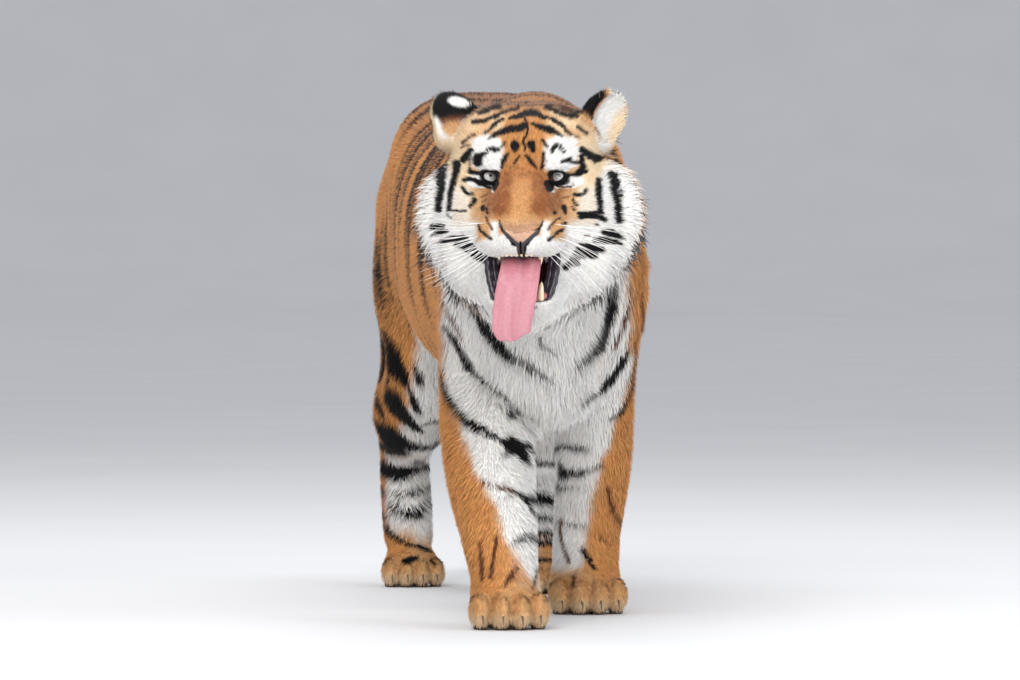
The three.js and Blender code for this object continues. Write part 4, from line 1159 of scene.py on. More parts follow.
        ground = mix(ground, Tone.ORANGE.light, (1 - bib) * fore_zone * 0.8)
        shank = smooth(0.0, 0.35, -n[:, 1]) * smooth(600, 640, y) * smooth(80, 120, z)
        rim = np.interp(h, (100, 290, 340, 400, 480), (-205, -207, -178, -165, -152))
        pale = np.where(x < 0, smooth(-10, 10, v - rim + 7 * noise(p, 16, 27)), 1.0) * smooth(560, 500, h)
        ground = mix(ground, Tone.WHITE.light * 0.92, shank * pale)
        ground = mix(ground, Tone.RUST.light, shank * (1 - pale) * smooth(360, 300, h) * 0.6)
        ground = mix(ground, Tone.TAN.light, smooth(70, 40, z) * 0.6)
        ground = mix(ground, Tone.CREAM.light, smooth(34, 12, z) * 0.7)
        colour[:] = ground
        flank = (1 - on_leg * smooth(420, 330, z)) * smooth(-300, -250, y) * (1 - fore_zone * bib)
        shoulder = smooth(-60, 60, y) + smooth(640, 760, z)
        flank = flank * np.clip(0.25 + shoulder, 0, 1)
        thigh = smooth(0.1, 0.4, outward) * smooth(770, 830, y) * smooth(0, 60, girth - 150)
        q = np.stack([y + 3 * noise(p, 14, 31) + self.ragged * noise(p, 5, 5), girth + 3 * noise(p, 14, 32)], 1)
        for sign, seed in ((-1, 41), (1, 57)):
            at = np.flatnonzero((side == sign) & (parts.tail > 20))
            self.lay_on(at, colour, q, flank * (1 - thigh), flank_marks(seed))
        yz = np.stack([y + 3 * noise(p, 14, 33), z + 3 * noise(p, 14, 34)], 1)
        for sign, seed, pivot in ((-1, 61, (846, 392)), (1, 67, (752, 448))):
            at = np.flatnonzero((side == sign) & (y > 740) & (parts.tail > 14))
            self.lay_on(at, colour, yz, thigh * smooth(300, 340, z), haunch_marks(seed, pivot))
        around = np.arctan2(n[:, 0] * side, -n[:, 1])
        bar = (z + 10 * np.sin(around * 2) + 9 * noise(p, 50, 35)) / 44
        within = on_leg * smooth(0.0, -0.4, outward) * smooth(250, 150, y) * smooth(90, 150, z) * smooth(430, 380, z)
        rear = on_leg * (y > 620) * smooth(90, 120, z) * smooth(350, 310, z) * (1 - smooth(0.3, 0.6, -n[:, 1]))
        dark = rear * bands(bar, 0.34 + 0.26 * noise(p, 60, 36), 0.09)
        dark = np.maximum(dark, within * bands(bar * 0.62, 0.20 + 0.26 * noise(p, 70, 37), 0.07))
        colour[:] = mix(colour, Tone.BLACK.light, dark)
        xz = seen + self.ragged * np.stack([noise(p, 6, 6), noise(p, 6, 7)], 1)
        for group in (FRONT_BROWN, FRONT_MARKS):
            self.lay(colour, xz, ahead * smooth(-0.1, 0.2, -n[:, 1]), group, self.edge)
        rear_view = smooth(-0.05, 0.12, -n[:, 1]) * smooth(640, 720, y) * smooth(560, 530, z)
        self.lay(colour, xz, rear_view, HIND_MARKS, self.edge)
        at = np.flatnonzero(parts.tail < np.minimum(parts.trunk, limbs) + 6)
        if len(at):
            colour[at] = self.tail(p[at], n[at])

    def tail(self, p: Array, n: Array) -> Array:
        """The colours of the tail: rings that widen on top, a pale underside and a black tip."""
        middle = TAIL.stops[:, :3]
        nearest = TAIL.nearest(p)
        along = TAIL.heading(p)
        offset = ((p - middle[nearest]) * along).sum(1)
        length = np.concatenate([[0], np.cumsum(np.linalg.norm(np.diff(middle, axis=0), axis=1))])
        run = length[nearest] + offset
        up = n[:, 1] * np.abs(along[:, 2]) + n[:, 2] * np.abs(along[:, 1])
        ground = mix(fill(Tone.BACK.light, len(p)), Tone.ORANGE.light, smooth(0.5, 0.0, up))
        ground = mix(ground, Tone.WHITE.light, smooth(0.1, -0.6, up) * 0.9)
        ring = (run + 6 * noise(p, 30, 43)) / 62
        share = 0.34 + 0.12 * up + 0.12 * noise(p, 50, 44)
        dark = bands(ring, share, 0.08) * smooth(30, 90, run)
        dark = np.maximum(dark, smooth(length[-1] - 96, length[-1] - 84, run))
        return mix(ground, Tone.BLACK.light, dark)

    def paint(self, p: Array, n: Array) -> Array:
        """Give the coat's colour at each point of the skin.

        Args:
            p: Points.
            n: Outward normals.

        Returns:
            Linear colours.
        """
        parts = parts_at(p)
        colour = np.zeros((len(p), 3), F)
        self.body(p, n, parts, colour)
        w = smooth(-22, 16, parts.body - parts.head)
        at = np.flatnonzero(w > 0)
        own = colour[at]
        self.head(p[at], n[at], own, w[at])
        colour[at] = own
        near_ear = np.flatnonzero(parts.ears < 4)
        own = colour[near_ear]
        self.ears(p[near_ear], n[near_ear], own)
        w_ear = smooth(8, -2, parts.ears[near_ear] - parts.head[near_ear])
        colour[near_ear] = mix(colour[near_ear], own, w_ear)
        return np.clip(colour, 0, 1)


# ---------- Meshes and finishes ----------


def to_frame(p: Array) -> Array:
    """The body's millimetres in the solids' own frame, in metres."""
    return (np.asarray(p, np.float64) / 1000.0 + SHIFT).astype(F)


def make_piece(
    name: str, verts: Array, faces: Sequence[Array], material: bpy.types.Material, colour: Array | None = None,
    uv: Array | None = None, normals: Array | None = None,
) -> bpy.types.Object:
    """Make an object from arrays.

    Args:
        name: The piece's name.
        verts: Vertices in millimetres.
        faces: Arrays of faces, each of one number of corners.
        material: Its material.
        colour: A linear colour for each vertex, kept as the attribute Marks.
        uv: A place for each vertex on the map OFBake.
        normals: The normal that each vertex is shaded with, where it isn't its faces' own.

    Returns:
        The object, at the origin.
    """
    mesh = bpy.data.meshes.new(name)
    loops = np.concatenate([f.reshape(-1) for f in faces]).astype(np.int32)
    counts = np.concatenate([np.full(len(f), f.shape[1], np.int32) for f in faces])
    mesh.vertices.add(len(verts))
    mesh.vertices.foreach_set("co", to_frame(verts).reshape(-1))
    mesh.loops.add(len(loops))
    mesh.loops.foreach_set("vertex_index", loops)
    mesh.polygons.add(len(counts))
    mesh.polygons.foreach_set("loop_start", np.concatenate([[0], np.cumsum(counts)[:-1]]).astype(np.int32))
    if colour is not None:
        layer = mesh.color_attributes.new("Marks", "FLOAT_COLOR", "POINT")
        layer.data.foreach_set("color", np.concatenate([colour, np.ones((len(colour), 1))], 1).astype(F).reshape(-1))
    if uv is not None:
        layer = mesh.uv_layers.new(name="OFBake")
        layer.data.foreach_set("uv", uv[loops].astype(F).reshape(-1))
    mesh.update(calc_edges=True)
    mesh.validate()
    mesh.polygons.foreach_set("use_smooth", np.full(len(mesh.polygons), True))
    if normals is not None:
        mesh.normals_split_custom_set_from_vertices(normals)
    mesh.materials.append(material)
    piece = bpy.data.objects.new(name, mesh)
    bpy.context.scene.collection.objects.link(piece)
    return piece


@dataclass(frozen=True)
class Finish:
    """A finish made of nodes: one colour or the coat's own, mottled, with a fine relief."""

    name: str
    colour: tuple[float, float, float] | None = None
    second: tuple[float, float, float] | None = None
    roughness: float = 0.5
    grain: float = 400.0
    bump: float = 0.1
    sheen: float = 0.0
    specular: float = 0.5
    subsurface: float = 0.0
    coat: float = 0.0
    cells: bool = False

    def build(self) -> bpy.types.Material:
        """Build the material."""
        material = bpy.data.materials.new(self.name)
        material.use_nodes = True
        nodes, links = material.node_tree.nodes, material.node_tree.links
        shader = nodes["Principled BSDF"]
        for socket, value in (
            ("Roughness", self.roughness), ("Specular IOR Level", self.specular),
            ("Sheen Weight", self.sheen), ("Coat Weight", self.coat),
        ):
            shader.inputs[socket].default_value = value
        if self.subsurface:
            shader.inputs["Subsurface Weight"].default_value = self.subsurface
            shader.inputs["Subsurface Scale"].default_value = 0.004
        place = nodes.new("ShaderNodeTexCoord")
        mottle = nodes.new("ShaderNodeTexNoise")
        mottle.inputs["Scale"].default_value = self.grain * 0.22
        mottle.inputs["Detail"].default_value = 4.0
        links.new(place.outputs["Object"], mottle.inputs["Vector"])
        blend = nodes.new("ShaderNodeMix")
        blend.data_type = "RGBA"
        if self.colour is None:
            marks_node = nodes.new("ShaderNodeAttribute")
            marks_node.attribute_name = "Marks"
            blend.blend_type = "MULTIPLY"
            blend.inputs["Factor"].default_value = 0.35
            ramp = nodes.new("ShaderNodeValToRGB")
            ramp.color_ramp.elements[0].position, ramp.color_ramp.elements[1].position = 0.3, 0.7
            ramp.color_ramp.elements[0].color = (0.62, 0.62, 0.62, 1)
            links.new(mottle.outputs["Fac"], ramp.inputs["Fac"])
            links.new(marks_node.outputs["Color"], blend.inputs[6])
            links.new(ramp.outputs["Color"], blend.inputs[7])
        else:
            blend.inputs[6].default_value = (*self.colour, 1)
            blend.inputs[7].default_value = (*(self.second or self.colour), 1)
            links.new(mottle.outputs["Fac"], blend.inputs["Factor"])
        links.new(blend.outputs[2], shader.inputs["Base Color"])
        if self.cells:
            relief = nodes.new("ShaderNodeTexVoronoi")
            height = relief.outputs["Distance"]
        else:
            relief = nodes.new("ShaderNodeTexNoise")
            relief.inputs["Detail"].default_value = 5.0
            height = relief.outputs["Fac"]
        relief.inputs["Scale"].default_value = self.grain
        links.new(place.outputs["Object"], relief.inputs["Vector"])
        bump = nodes.new("ShaderNodeBump")
        bump.inputs["Strength"].default_value = self.bump
        bump.inputs["Distance"].default_value = 0.001
        links.new(height, bump.inputs["Height"])
        links.new(bump.outputs["Normal"], shader.inputs["Normal"])
        return material


SKIN_FINISH = Finish("hide", roughness=0.75, grain=900, bump=0.5, specular=0.15)
COAT_FINISH = Finish("winter_coat", roughness=0.7, grain=1400, bump=0.15, sheen=0.03, specular=0.15)
LIP_FINISH = Finish("wet_lip", linear(20, 15, 24), linear(52, 44, 62), 0.28, 500, 0.25, coat=0.3)
GUM_FINISH = Finish("gum", linear(170, 92, 96), linear(206, 124, 124), 0.3, 300, 0.2, subsurface=0.2, coat=0.3)
TONGUE_FINISH = Finish("tongue", None, None, 0.42, 1100, 0.5, subsurface=0.15, coat=0.1, cells=True)
TOOTH_FINISH = Finish("tooth", linear(244, 232, 206), linear(226, 200, 156), 0.3, 220, 0.1, coat=0.3)
PAD_FINISH = Finish("paw_pad", linear(46, 38, 38), linear(70, 58, 56), 0.7, 700, 0.6, cells=True)
CLAW_FINISH = Finish("claw", linear(120, 100, 84), linear(84, 66, 54), 0.4, 300, 0.15)
WHISKER_FINISH = Finish("whisker", linear(246, 246, 244), linear(230, 228, 222), 0.4, 300, 0.05)
NOSE_FINISH = Finish("nose_leather", None, None, 0.42, 800, 0.45, coat=0.2, cells=True)
EYE_FINISH = Finish("eyeball", None, None, 0.08, 300, 0.02, specular=0.6, coat=0.6)
WORLD_LIGHT = linear(238, 241, 246)


# ---------- Skin ----------

LOWEST_SKIN, LOWEST_HAIR = 1.2, 1.0  # heights above the floor that nothing goes below


@dataclass
class Skin:
    """The one skin of the whole animal, with the head meshed finer than the rest."""

    body_cell: float = 8.6
    head_cell: float = 3.9
    neck: float = -256.3
    floor: float = 400.0
    verts: Array = field(init=False)
    tris: Array = field(init=False)
    normals: Array = field(init=False)

    def mesh(self) -> None:
        """Mesh the skin: two grids joined round the neck, the face split finer, all settled on the field."""
        c = self.head_cell
        hv, hq = surface_nets(skin_at, (-282, self.neck - 94 * c, 476), (140, self.neck, 916), c, 6)
        bv, bq = surface_nets(skin_at, (-222, -362, -5), (222, 1740, 950), self.body_cell)
        ahead = (bv[:, 1] < self.neck + 7) & (bv[:, 2] > self.floor)
        bq = bq[~ahead[bq].any(1)]
        verts = np.concatenate([hv, bv])
        quads = np.concatenate([hq, bq + len(hv)])
        used = np.unique(quads)
        index = np.full(len(verts), -1, np.int64)
        index[used] = np.arange(len(used))
        verts, quads = verts[used], index[quads]
        tris = np.concatenate([quads[:, [0, 1, 2]], quads[:, [0, 2, 3]]])
        loops = sorted(open_loops(quads), key=len)
        front, rear = sorted(loops[-2:], key=lambda loop: verts[loop, 1].mean())
        LOG.info("neck loops: %d and %d vertices, of %d loops", len(front), len(rear), len(loops))
        tris = np.concatenate([tris, self.bridge(verts, front, rear)])
        verts = relax(verts, tris, 2, 0.35)
        q = to_head(verts)
        a = np.abs(q[:, 0])
        eye = np.linalg.norm(q * (1, 0.7, 1) - np.stack([np.sign(q[:, 0]) * 56, 0 * a, 0 * a + 4], 1), axis=1) < 29
        nose = (q[:, 1] > 118) & (a < 46) & (q[:, 2] > -128)
        lips = (q[:, 1] > 66) & (np.abs(MOUTH.at(q)) < 7)
        verts, tris = refine(verts, tris, eye | nose | lips)
        verts, self.normals = settle(skin_at, verts.astype(F), 3)
        verts[:, 2] = np.maximum(verts[:, 2], LOWEST_SKIN)
        self.verts, self.tris = verts, tris
        LOG.info("skin: %d vertices, %d triangles", len(verts), len(tris))

    def bridge(self, verts: Array, one: Array, two: Array) -> Array:
        """Join two loops round the neck with triangles, walking both by their angle."""
        centre = np.array((verts[one, 0].mean(), verts[one, 2].mean()))

        def angles(loop: Array) -> Array:
            """Each vertex's angle round the neck."""
            return np.arctan2(verts[loop, 2] - centre[1], verts[loop, 0] - centre[0])

        def ordered(loop: Array) -> tuple[Array, Array]:
            """A loop from its least angle, going round with the angle."""
            turn = angles(loop)
            steps = np.mod(np.diff(turn) + math.pi, 2 * math.pi) - math.pi
            if steps.sum() < 0:
                loop = loop[::-1]
                turn = turn[::-1]
            k = int(np.argmin(turn))
            loop = np.roll(loop, -k)
            turn = np.roll(turn, -k)
            return loop, np.maximum.accumulate(turn)

        (a, ta), (b, tb) = ordered(one), ordered(two)
        i = j = 0
        out = []
        while i < len(a) or j < len(b):
            next_a = ta[i + 1] if i + 1 < len(a) else (ta[0] + 2 * math.pi if i < len(a) else 1e9)
            next_b = tb[j + 1] if j + 1 < len(b) else (tb[0] + 2 * math.pi if j < len(b) else 1e9)
            if next_a <= next_b:
                out.append((a[i % len(a)], a[(i + 1) % len(a)], b[j % len(b)]))
                i += 1
            else:
                out.append((b[(j + 1) % len(b)], b[j % len(b)], a[i % len(a)]))
                j += 1
        tris = np.array(out)
        mid = verts[tris].mean(1)
        normal = tri_normals(verts, tris)
        outward = mid[:, [0, 2]] - centre
        if (normal[:, [0, 2]] * outward).sum() < 0:
            tris = tris[:, ::-1]
        return tris

    def dress(self, markings: Markings) -> bpy.types.Object:
        """Paint the skin and make its piece."""
        p, n = self.verts, self.normals
        colour = markings.paint(p, n)
        q = to_head(p)
        inside = smooth(7.0, 2.5, MOUTH.at(q) + 6 * smooth(120, 135, q[:, 1]) * smooth(-140, -120, q[:, 2]))
        inside *= smooth(-226, -214, q[:, 2])
        # Inside the mouth: black lip skin near the front, and deeper in the flesh colour darkened to a quarter,
        # painted shade of the open mouth
        shade = mix(fill(Tone.LIP.light, len(p)), Tone.FLESH.light * 0.25, smooth(88, 50, q[:, 1]))
        colour = mix(colour, shade, inside * (parts_at(p).head < 12))
        colour = mix(colour, Tone.BLACK.light, smooth(1, -1, NoseLeather.outline(q)) * smooth(-84, -88, q[:, 2]))
        tint = 1 + 0.12 * noise(p, 9, 71)
        colour = np.clip(colour * tint[:, None] * 0.9, 0, 1)
        return make_piece("skin", p, [self.tris], SKIN_FINISH.build(), colour)


# ---------- Coat ----------


class Region(Enum):
    """The parts of the coat, one piece each."""

    FACE = "coat_face"
    RUFF = "coat_ruff"
    CHEST = "coat_chest_and_neck"
    FLANK_FORE = "coat_fore_trunk"
    FLANK_REAR = "coat_rear_trunk"
    FORELEGS = "coat_forelegs"
    HINDLEGS = "coat_hind_legs"
    TAIL = "coat_tail"


@dataclass(frozen=True)
class Cut:
    """How one region's coat is cut: number of tufts, length, width, number of joints and waviness."""

    count: int
    length: float
    width: float
    joints: int
    curl: float


CUTS = {
    Region.FACE: Cut(48000, 7.5, 2.1, 0, 0.08),
    Region.RUFF: Cut(19800, 27.0, 4.0, 1, 0.10),
    Region.CHEST: Cut(49400, 28.0, 3.5, 0, 0.10),
    Region.FLANK_FORE: Cut(49400, 23.0, 3.7, 0, 0.08),
    Region.FLANK_REAR: Cut(49400, 23.0, 3.7, 0, 0.08),
    Region.FORELEGS: Cut(32000, 16.0, 3.6, 0, 0.10),
    Region.HINDLEGS: Cut(38000, 18.0, 3.9, 0, 0.10),
    Region.TAIL: Cut(11000, 26.0, 4.2, 1, 0.10),
}


BLADE = ((0, 2, 1), (0, 1, 3), (1, 2, 3), (2, 0, 3))  # the faces of one tuft
JOINTED_BLADE = (
    (0, 2, 1), (0, 1, 4), (0, 4, 3), (1, 2, 5), (1, 5, 4), (2, 0, 3), (2, 3, 5), (3, 4, 6), (4, 5, 6), (5, 3, 6),
)
BLADE_MAP = ((-1, 0), (1, 0), (0, 0.3), (0, 2))  # the corners of one tuft on its map
JOINTED_MAP = ((-1, 0), (1, 0), (0, 0), (-0.9, 1), (0.9, 1), (0, 1), (0, 2))
MAP_STEP = 0.0015


@dataclass
class Coat:
    """The tufts over the skin, in one piece to a region."""

    skin: Skin
    markings: Markings
    seed: int = 20
    material: bpy.types.Material = field(init=False)

    def regions(self, p: Array, parts: Parts) -> Array:
        """The number of each point's region, in the order of the Region enum."""
        q = to_head(p)
        on_head = parts.head < parts.body + 4
        face = on_head & ((q[:, 1] > -56) | ((q[:, 2] > 30) & (q[:, 1] > -100)))
        face |= parts.ears < parts.head
        limbs = parts.limbs
        leg = (limbs < parts.trunk - 4) & (p[:, 2] < 520)
        chest = (p[:, 1] < 40) & ((p[:, 1] < -130) | (p[:, 2] < 640))
        return np.select(
            [face, on_head, parts.tail < np.minimum(parts.trunk, limbs), leg & (p[:, 1] < 500), leg, chest,
             p[:, 1] < 560],
            [0, 1, 7, 5, 6, 2, 3], 4)

    def lie(self, p: Array, n: Array, parts: Parts) -> Array:
        """The way that the hair grows, along the skin."""
        q = to_head(p)
        s, f, u = q.T
        away = unit(q - np.array((0, 150, -74), F))
        away[:, 1] -= 0.35
        away[:, 2] += 0.25 * smooth(60, 20, np.abs(s)) * smooth(-60, 0, u)
        away[:, 2] -= 0.55 * smooth(-30, -110, u)
        ruff = unit(np.stack([1.1 * s / 110, 0 * s - 0.55, (u - 30) / 130 - 0.35], 1))
        w = smooth(-40, -90, f)
        head = (away + (ruff - away) * w[:, None]) @ HEAD_AXES.T
        x, y, z = p.T
        ahead = smooth(60, -120, y)
        down = 0.42 + 1.3 * ahead * smooth(0.1, -0.7, n[:, 1])
        back = 0.15 + 0.85 * (1 - ahead * smooth(0.1, -0.7, n[:, 1]))
        trunk = np.stack([0 * x, back, -down * smooth(0.95, 0.4, n[:, 2])], 1)
        leg = np.array((0, 0.22, -1), F)
        limbs = parts.limbs
        w = smooth(-40, 20, parts.trunk - limbs) * smooth(640, 470, z)
        d = trunk + (leg - trunk) * w[:, None]
        foot = smooth(74, 44, z)
        toes = np.array((0, -1, -0.35), F)
        d = d + (toes - d) * (foot * smooth(0.1, 0.7, n[:, 2]))[:, None]
        tail_w = smooth(-20, 16, np.minimum(parts.trunk, limbs) - parts.tail)
        at = np.flatnonzero(tail_w > 0)
        d[at] += (TAIL.heading(p[at]) - d[at]) * tail_w[at, None]
        w = smooth(-30, 20, parts.body - parts.head)
        d = d + (head - d) * w[:, None]
        for ear in (EAR_LEFT, EAR_RIGHT):
            e = ear.local(p)
            m = n @ ear.axes
            inner = m[:, 1] > 0.2
            own = np.stack([0.012 * e[:, 0] + 0.5 * np.sign(e[:, 0]) * inner, 0.3 * inner, 1 + 0 * e[:, 0]], 1)
            w = smooth(4, -4, parts.ears - parts.head) * (ear.from_middle(e) < 74)
            d = d + (own.astype(F) @ ear.axes.T - d) * w[:, None]
        for axis in range(3):
            d[:, axis] += 0.22 * noise(p, 26, 80 + axis) + 0.12 * noise(p, 9, 90 + axis)
        d -= (d * n).sum(1, keepdims=True) * n
        return unit(d)

    def bare(self, p: Array) -> Array:
        """Whether a point is bare skin: lips, nose leather, lids and pads."""
        q = to_head(p)
        a = np.abs(q[:, 0])
        eye = Ellipsoid((54, 6, 5), (15.5, 60, 10.0), -14, True).at(q) < 0
        eye &= np.linalg.norm(q - np.stack([np.sign(q[:, 0]) * 59, 0 * a, 0 * a], 1), axis=1) < 34
        mouth = (MOUTH.at(q) < 4.0 - 3.4 * smooth(-140, -120, q[:, 2])) & (q[:, 1] > -20) & (q[:, 2] > -232)
        nose = (NoseLeather.outline(q) < -0.5) & (q[:, 2] < -81)
        return eye | mouth | nose | (p[:, 2] < 4.5)

    def roots(self) -> list[tuple[Array, Array]]:
        """Choose the roots of each region's tufts, spread evenly over the skin.

        Returns:
            For each region, points and normals.
        """
        v, t, n = self.skin.verts, self.skin.tris, self.skin.normals
        middle = v[t].mean(1)
        area = np.linalg.norm(tri_normals(v, t), axis=1) / 2
        region = self.regions(middle, parts_at(middle))
        area = area * ~self.bare(middle)
        rng = np.random.default_rng(self.seed)
        out = []
        for k, cut in enumerate(CUTS.values()):
            own = np.flatnonzero((region == k) & (area > 0))
            key = np.floor(middle[own] / 14.0).astype(np.int64)
            own = own[np.lexsort((key[:, 0], key[:, 1], key[:, 2]))]
            q = to_head(middle[own])
            weight = area[own] * (1 + (0.9 * smooth(0, 60, q[:, 1]) if k == 0 else 0))
            total = np.cumsum(weight)
            picks = (np.arange(cut.count) + rng.random(cut.count)) * total[-1] / cut.count
            chosen = t[own[np.searchsorted(total, picks)]]
            a, b = rng.random(cut.count), rng.random(cut.count)
            flip = a + b > 1
            a, b = np.where(flip, 1 - a, a), np.where(flip, 1 - b, b)
            w = np.stack([1 - a - b, a, b], 1)[..., None]
            p = (v[chosen] * w).sum(1).astype(F)
            normal = unit((n[chosen] * w).sum(1)).astype(F)
            keep = ~self.bare(p)
            out.append((p[keep], normal[keep]))
        return out

    def unwrap(self, region: Region, p: Array) -> Array:
        """Places of the roots on an unwrap of the skin round the region's own axis, from 0 to 1."""
        if region in (Region.FACE, Region.RUFF):
            q = to_head(p)
            d = unit(q - np.array((0, -60, -40), F))
            turn, fall = np.arctan2(d[:, 0], d[:, 1]), np.arccos(np.clip(d[:, 2], -1, 1))
            return np.stack([turn / (2 * math.pi) + 0.5, fall / math.pi], 1)
        if region is Region.TAIL:
            k = TAIL.nearest(p)
            side = p - TAIL.stops[k, :3]
            along = TAIL.heading(p)
            across = np.cross(along, (1, 0, 0))
            turn = np.arctan2(side[:, 0], (side * across).sum(1)) / (2 * math.pi) + 0.5
            run = (k + np.clip((side * along).sum(1) / 24, -0.5, 0.5) + 0.5) / (len(TAIL.stops) + 1)
            return np.stack([turn, run], 1)
        if region in (Region.FORELEGS, Region.HINDLEGS):
            left = p[:, 0] > 0
            centre_y = np.where(left, *(np.interp(p[:, 2], *self.axis_of(p[left == flag])) for flag in (True, False)))
            centre_x = np.where(left, 96.0, -104.0)
            turn = np.arctan2(p[:, 0] - centre_x, p[:, 1] - centre_y) / (2 * math.pi) + 0.5
            return np.stack([turn * 0.48 + 0.51 * left, np.clip(p[:, 2] / 540, 0, 1)], 1)
        low, high = p[:, 1].min(), p[:, 1].max()
        return np.stack([round_trunk(p) / (2 * math.pi) + 0.5, (p[:, 1] - low) / max(high - low, 1)], 1)

    @staticmethod
    def axis_of(p: Array) -> tuple[Array, Array]:
        """The height and the middle Y of each level of a leg."""
        levels = np.arange(20, 540, 40.0)
        near = [p[np.abs(p[:, 2] - z) < 30, 1] for z in levels]
        return levels, np.array([float(np.median(y)) if len(y) else 0.0 for y in near])

    def tufts(self, region: Region, cut: Cut, p: Array, n: Array) -> bpy.types.Object:
        """Make one region's tufts: closed blades that rise from the skin and bend to lie along it."""
        rng = np.random.default_rng(self.seed + 100 + list(Region).index(region))
        count = len(p)
        parts = parts_at(p)
        depth = coat_depth(p, parts)
        lie = self.lie(p, n, parts)
        across = np.cross(n, lie)
        q = to_head(p)
        size = rng.normal(1, 0.16, count).clip(0.6, 1.5) * (1 + 0.18 * noise(p, 30, 101))
        length = cut.length * size
        width = cut.width * rng.uniform(0.75, 1.25, count)
        if region is Region.FACE:
            muzzle = smooth(10, 90, q[:, 1])
            length *= 1 - 0.42 * muzzle
            width *= 1 - 0.22 * muzzle
            beard = smooth(-195, -225, q[:, 2])
            ears = parts.ears < parts.head
            opens = np.where(q[:, 0] > 0, (n @ EAR_LEFT.axes)[:, 1], (n @ EAR_RIGHT.axes)[:, 1])
            hollow = ears & (opens > 0.1)
            length = length * (1 + 1.1 * beard + 0.8 * smooth(-20, -90, q[:, 1]) * ~ears) * np.where(hollow, 1.5, 1)
            depth = depth + 1.0 * hollow
        if region in (Region.FORELEGS, Region.HINDLEGS):
            foot = smooth(150, 60, p[:, 2])
            length *= 1 - 0.40 * foot + 0.25 * smooth(300, 480, p[:, 2])
            width *= 1 - 0.22 * foot
        if region is Region.RUFF:
            length *= 1 + 0.4 * smooth(-70, -130, q[:, 1]) * smooth(50, 0, q[:, 2])
        if region is Region.CHEST:
            length *= 1 - 0.2 * smooth(700, 850, p[:, 2])
        sleek = region in (Region.CHEST, Region.FLANK_FORE, Region.FLANK_REAR)
        height = depth * rng.uniform(*((0.88, 1.03) if sleek else (0.72, 1.08)), count)
        if region in (Region.RUFF, Region.CHEST):
            guard = rng.random(count) < 0.12
            length, height = length * (1 + 0.5 * guard), height * (1 + 0.3 * guard)
        if region is Region.FACE:
            short = np.where(NoseLeather.outline(q) < 2, smooth(-83, -66, q[:, 2]), 1.0)
            length, height = length * (0.45 + 0.55 * short), height * (0.2 + 0.8 * short)
        height = np.minimum(height, length * 0.86)
        bend = cut.curl * rng.normal(0, 1, count)
        run = np.sqrt(np.maximum(length**2 - height**2, (0.3 * length) ** 2))
        slip = rng.normal(0, 0.05, count)
        shares = (0.12, 0.48, 0.94) if cut.joints else (0.2, 0.9)
        colours = [self.markings.paint(p + lie * ((share + slip) * run)[:, None], n) for share in shares]
        base = p - n * 0.8
        tip = p + n * height[:, None] + lie * run[:, None] + across * (bend * length)[:, None]
        tip[:, 2] = np.maximum(tip[:, 2], LOWEST_HAIR)
        half = (width / 2)[:, None]
        thick = width[:, None] * 0.30
        rings = [(base, 1.0, n)]
        if cut.joints:
            middle = p + n * (height * 0.66)[:, None] + lie * (run * 0.46)[:, None]
            middle = middle + across * (bend * 0.12 * length)[:, None]
            middle[:, 2] = np.maximum(middle[:, 2], LOWEST_HAIR)
            rings.append((middle, 0.92, unit(n - 0.3 * lie)))
        verts, shades, own = [], [], []
        # Brightness of the root, middle and tip rings: roots darker as painted shade deep in the coat between tufts,
        # tips a little lighter
        dark = (0.80, 0.98, 1.05) if cut.joints else (0.84, 0.98, 1.05)
        for level, (centre, girth, lift) in enumerate(rings):
            verts += [centre - across * half * girth, centre + across * half * girth, centre + lift * thick * girth]
            shades += [dark[level]] * 3
            own += [colours[level]] * 3
        verts.append(tip)
        shades.append(dark[2])
        colour = np.stack([*own, colours[-1]], 1)
        verts = np.stack(verts, 1)
        per = verts.shape[1]
        shape = np.array(JOINTED_BLADE if cut.joints else BLADE)
        first = verts[0]
        mid = first.mean(0)
        volume = sum(float(np.dot(first[a] - mid, np.cross(first[b] - mid, first[c] - mid))) for a, b, c in shape)
        if volume < 0:
            shape = shape[:, ::-1]
        faces = (np.arange(count)[:, None, None] * per + shape[None]).reshape(-1, 3)
        tone = (1 + 0.13 * rng.normal(0, 1, count).clip(-2, 2) + 0.07 * noise(p, 22, 102))[:, None, None]
        warm = 1 + 0.05 * rng.normal(0, 1, (count, 1, 3))
        luminance = colour.mean(2, keepdims=True)
        spread = np.where(luminance > 0.5, 0.5, 1.0)
        # The painted shade at the roots and the lighter tips, milder on pale hair
        shade = np.array(shades)[None, :, None]
        shade = 1 + (shade - 1) * np.where(luminance > 0.5, 0.72, 1.0)
        paint = np.clip(colour * shade * (1 + (tone - 1) * spread) * (1 + (warm - 1) * spread), 0, 1)
        place = self.unwrap(region, p) * 0.99 + 0.003
        corner = np.array(JOINTED_MAP if cut.joints else BLADE_MAP) * MAP_STEP
        uv = (place[:, None, :] + corner[None]).reshape(-1, 2)
        splay = 0.35 * np.array([-1, 1, 0] * len(rings) + [0])
        soft = unit(n[:, None, :] + splay[None, :, None] * across[:, None, :])
        piece = make_piece(
            region.value, verts.reshape(-1, 3), [faces], self.material, paint.reshape(-1, 3), uv,
            soft.reshape(-1, 3))
        LOG.info("%s: %d tufts, %d triangles", region.value, count, len(faces))
        return piece

    def build(self) -> list[bpy.types.Object]:
        """Make every region's piece."""
        self.material = COAT_FINISH.build()
        return [self.tufts(region, cut, p, n) for (region, cut), (p, n) in zip(CUTS.items(), self.roots())]


# ---------- Face pieces ----------


Shape = tuple[Array, list[Array]]  # vertices, and arrays of faces


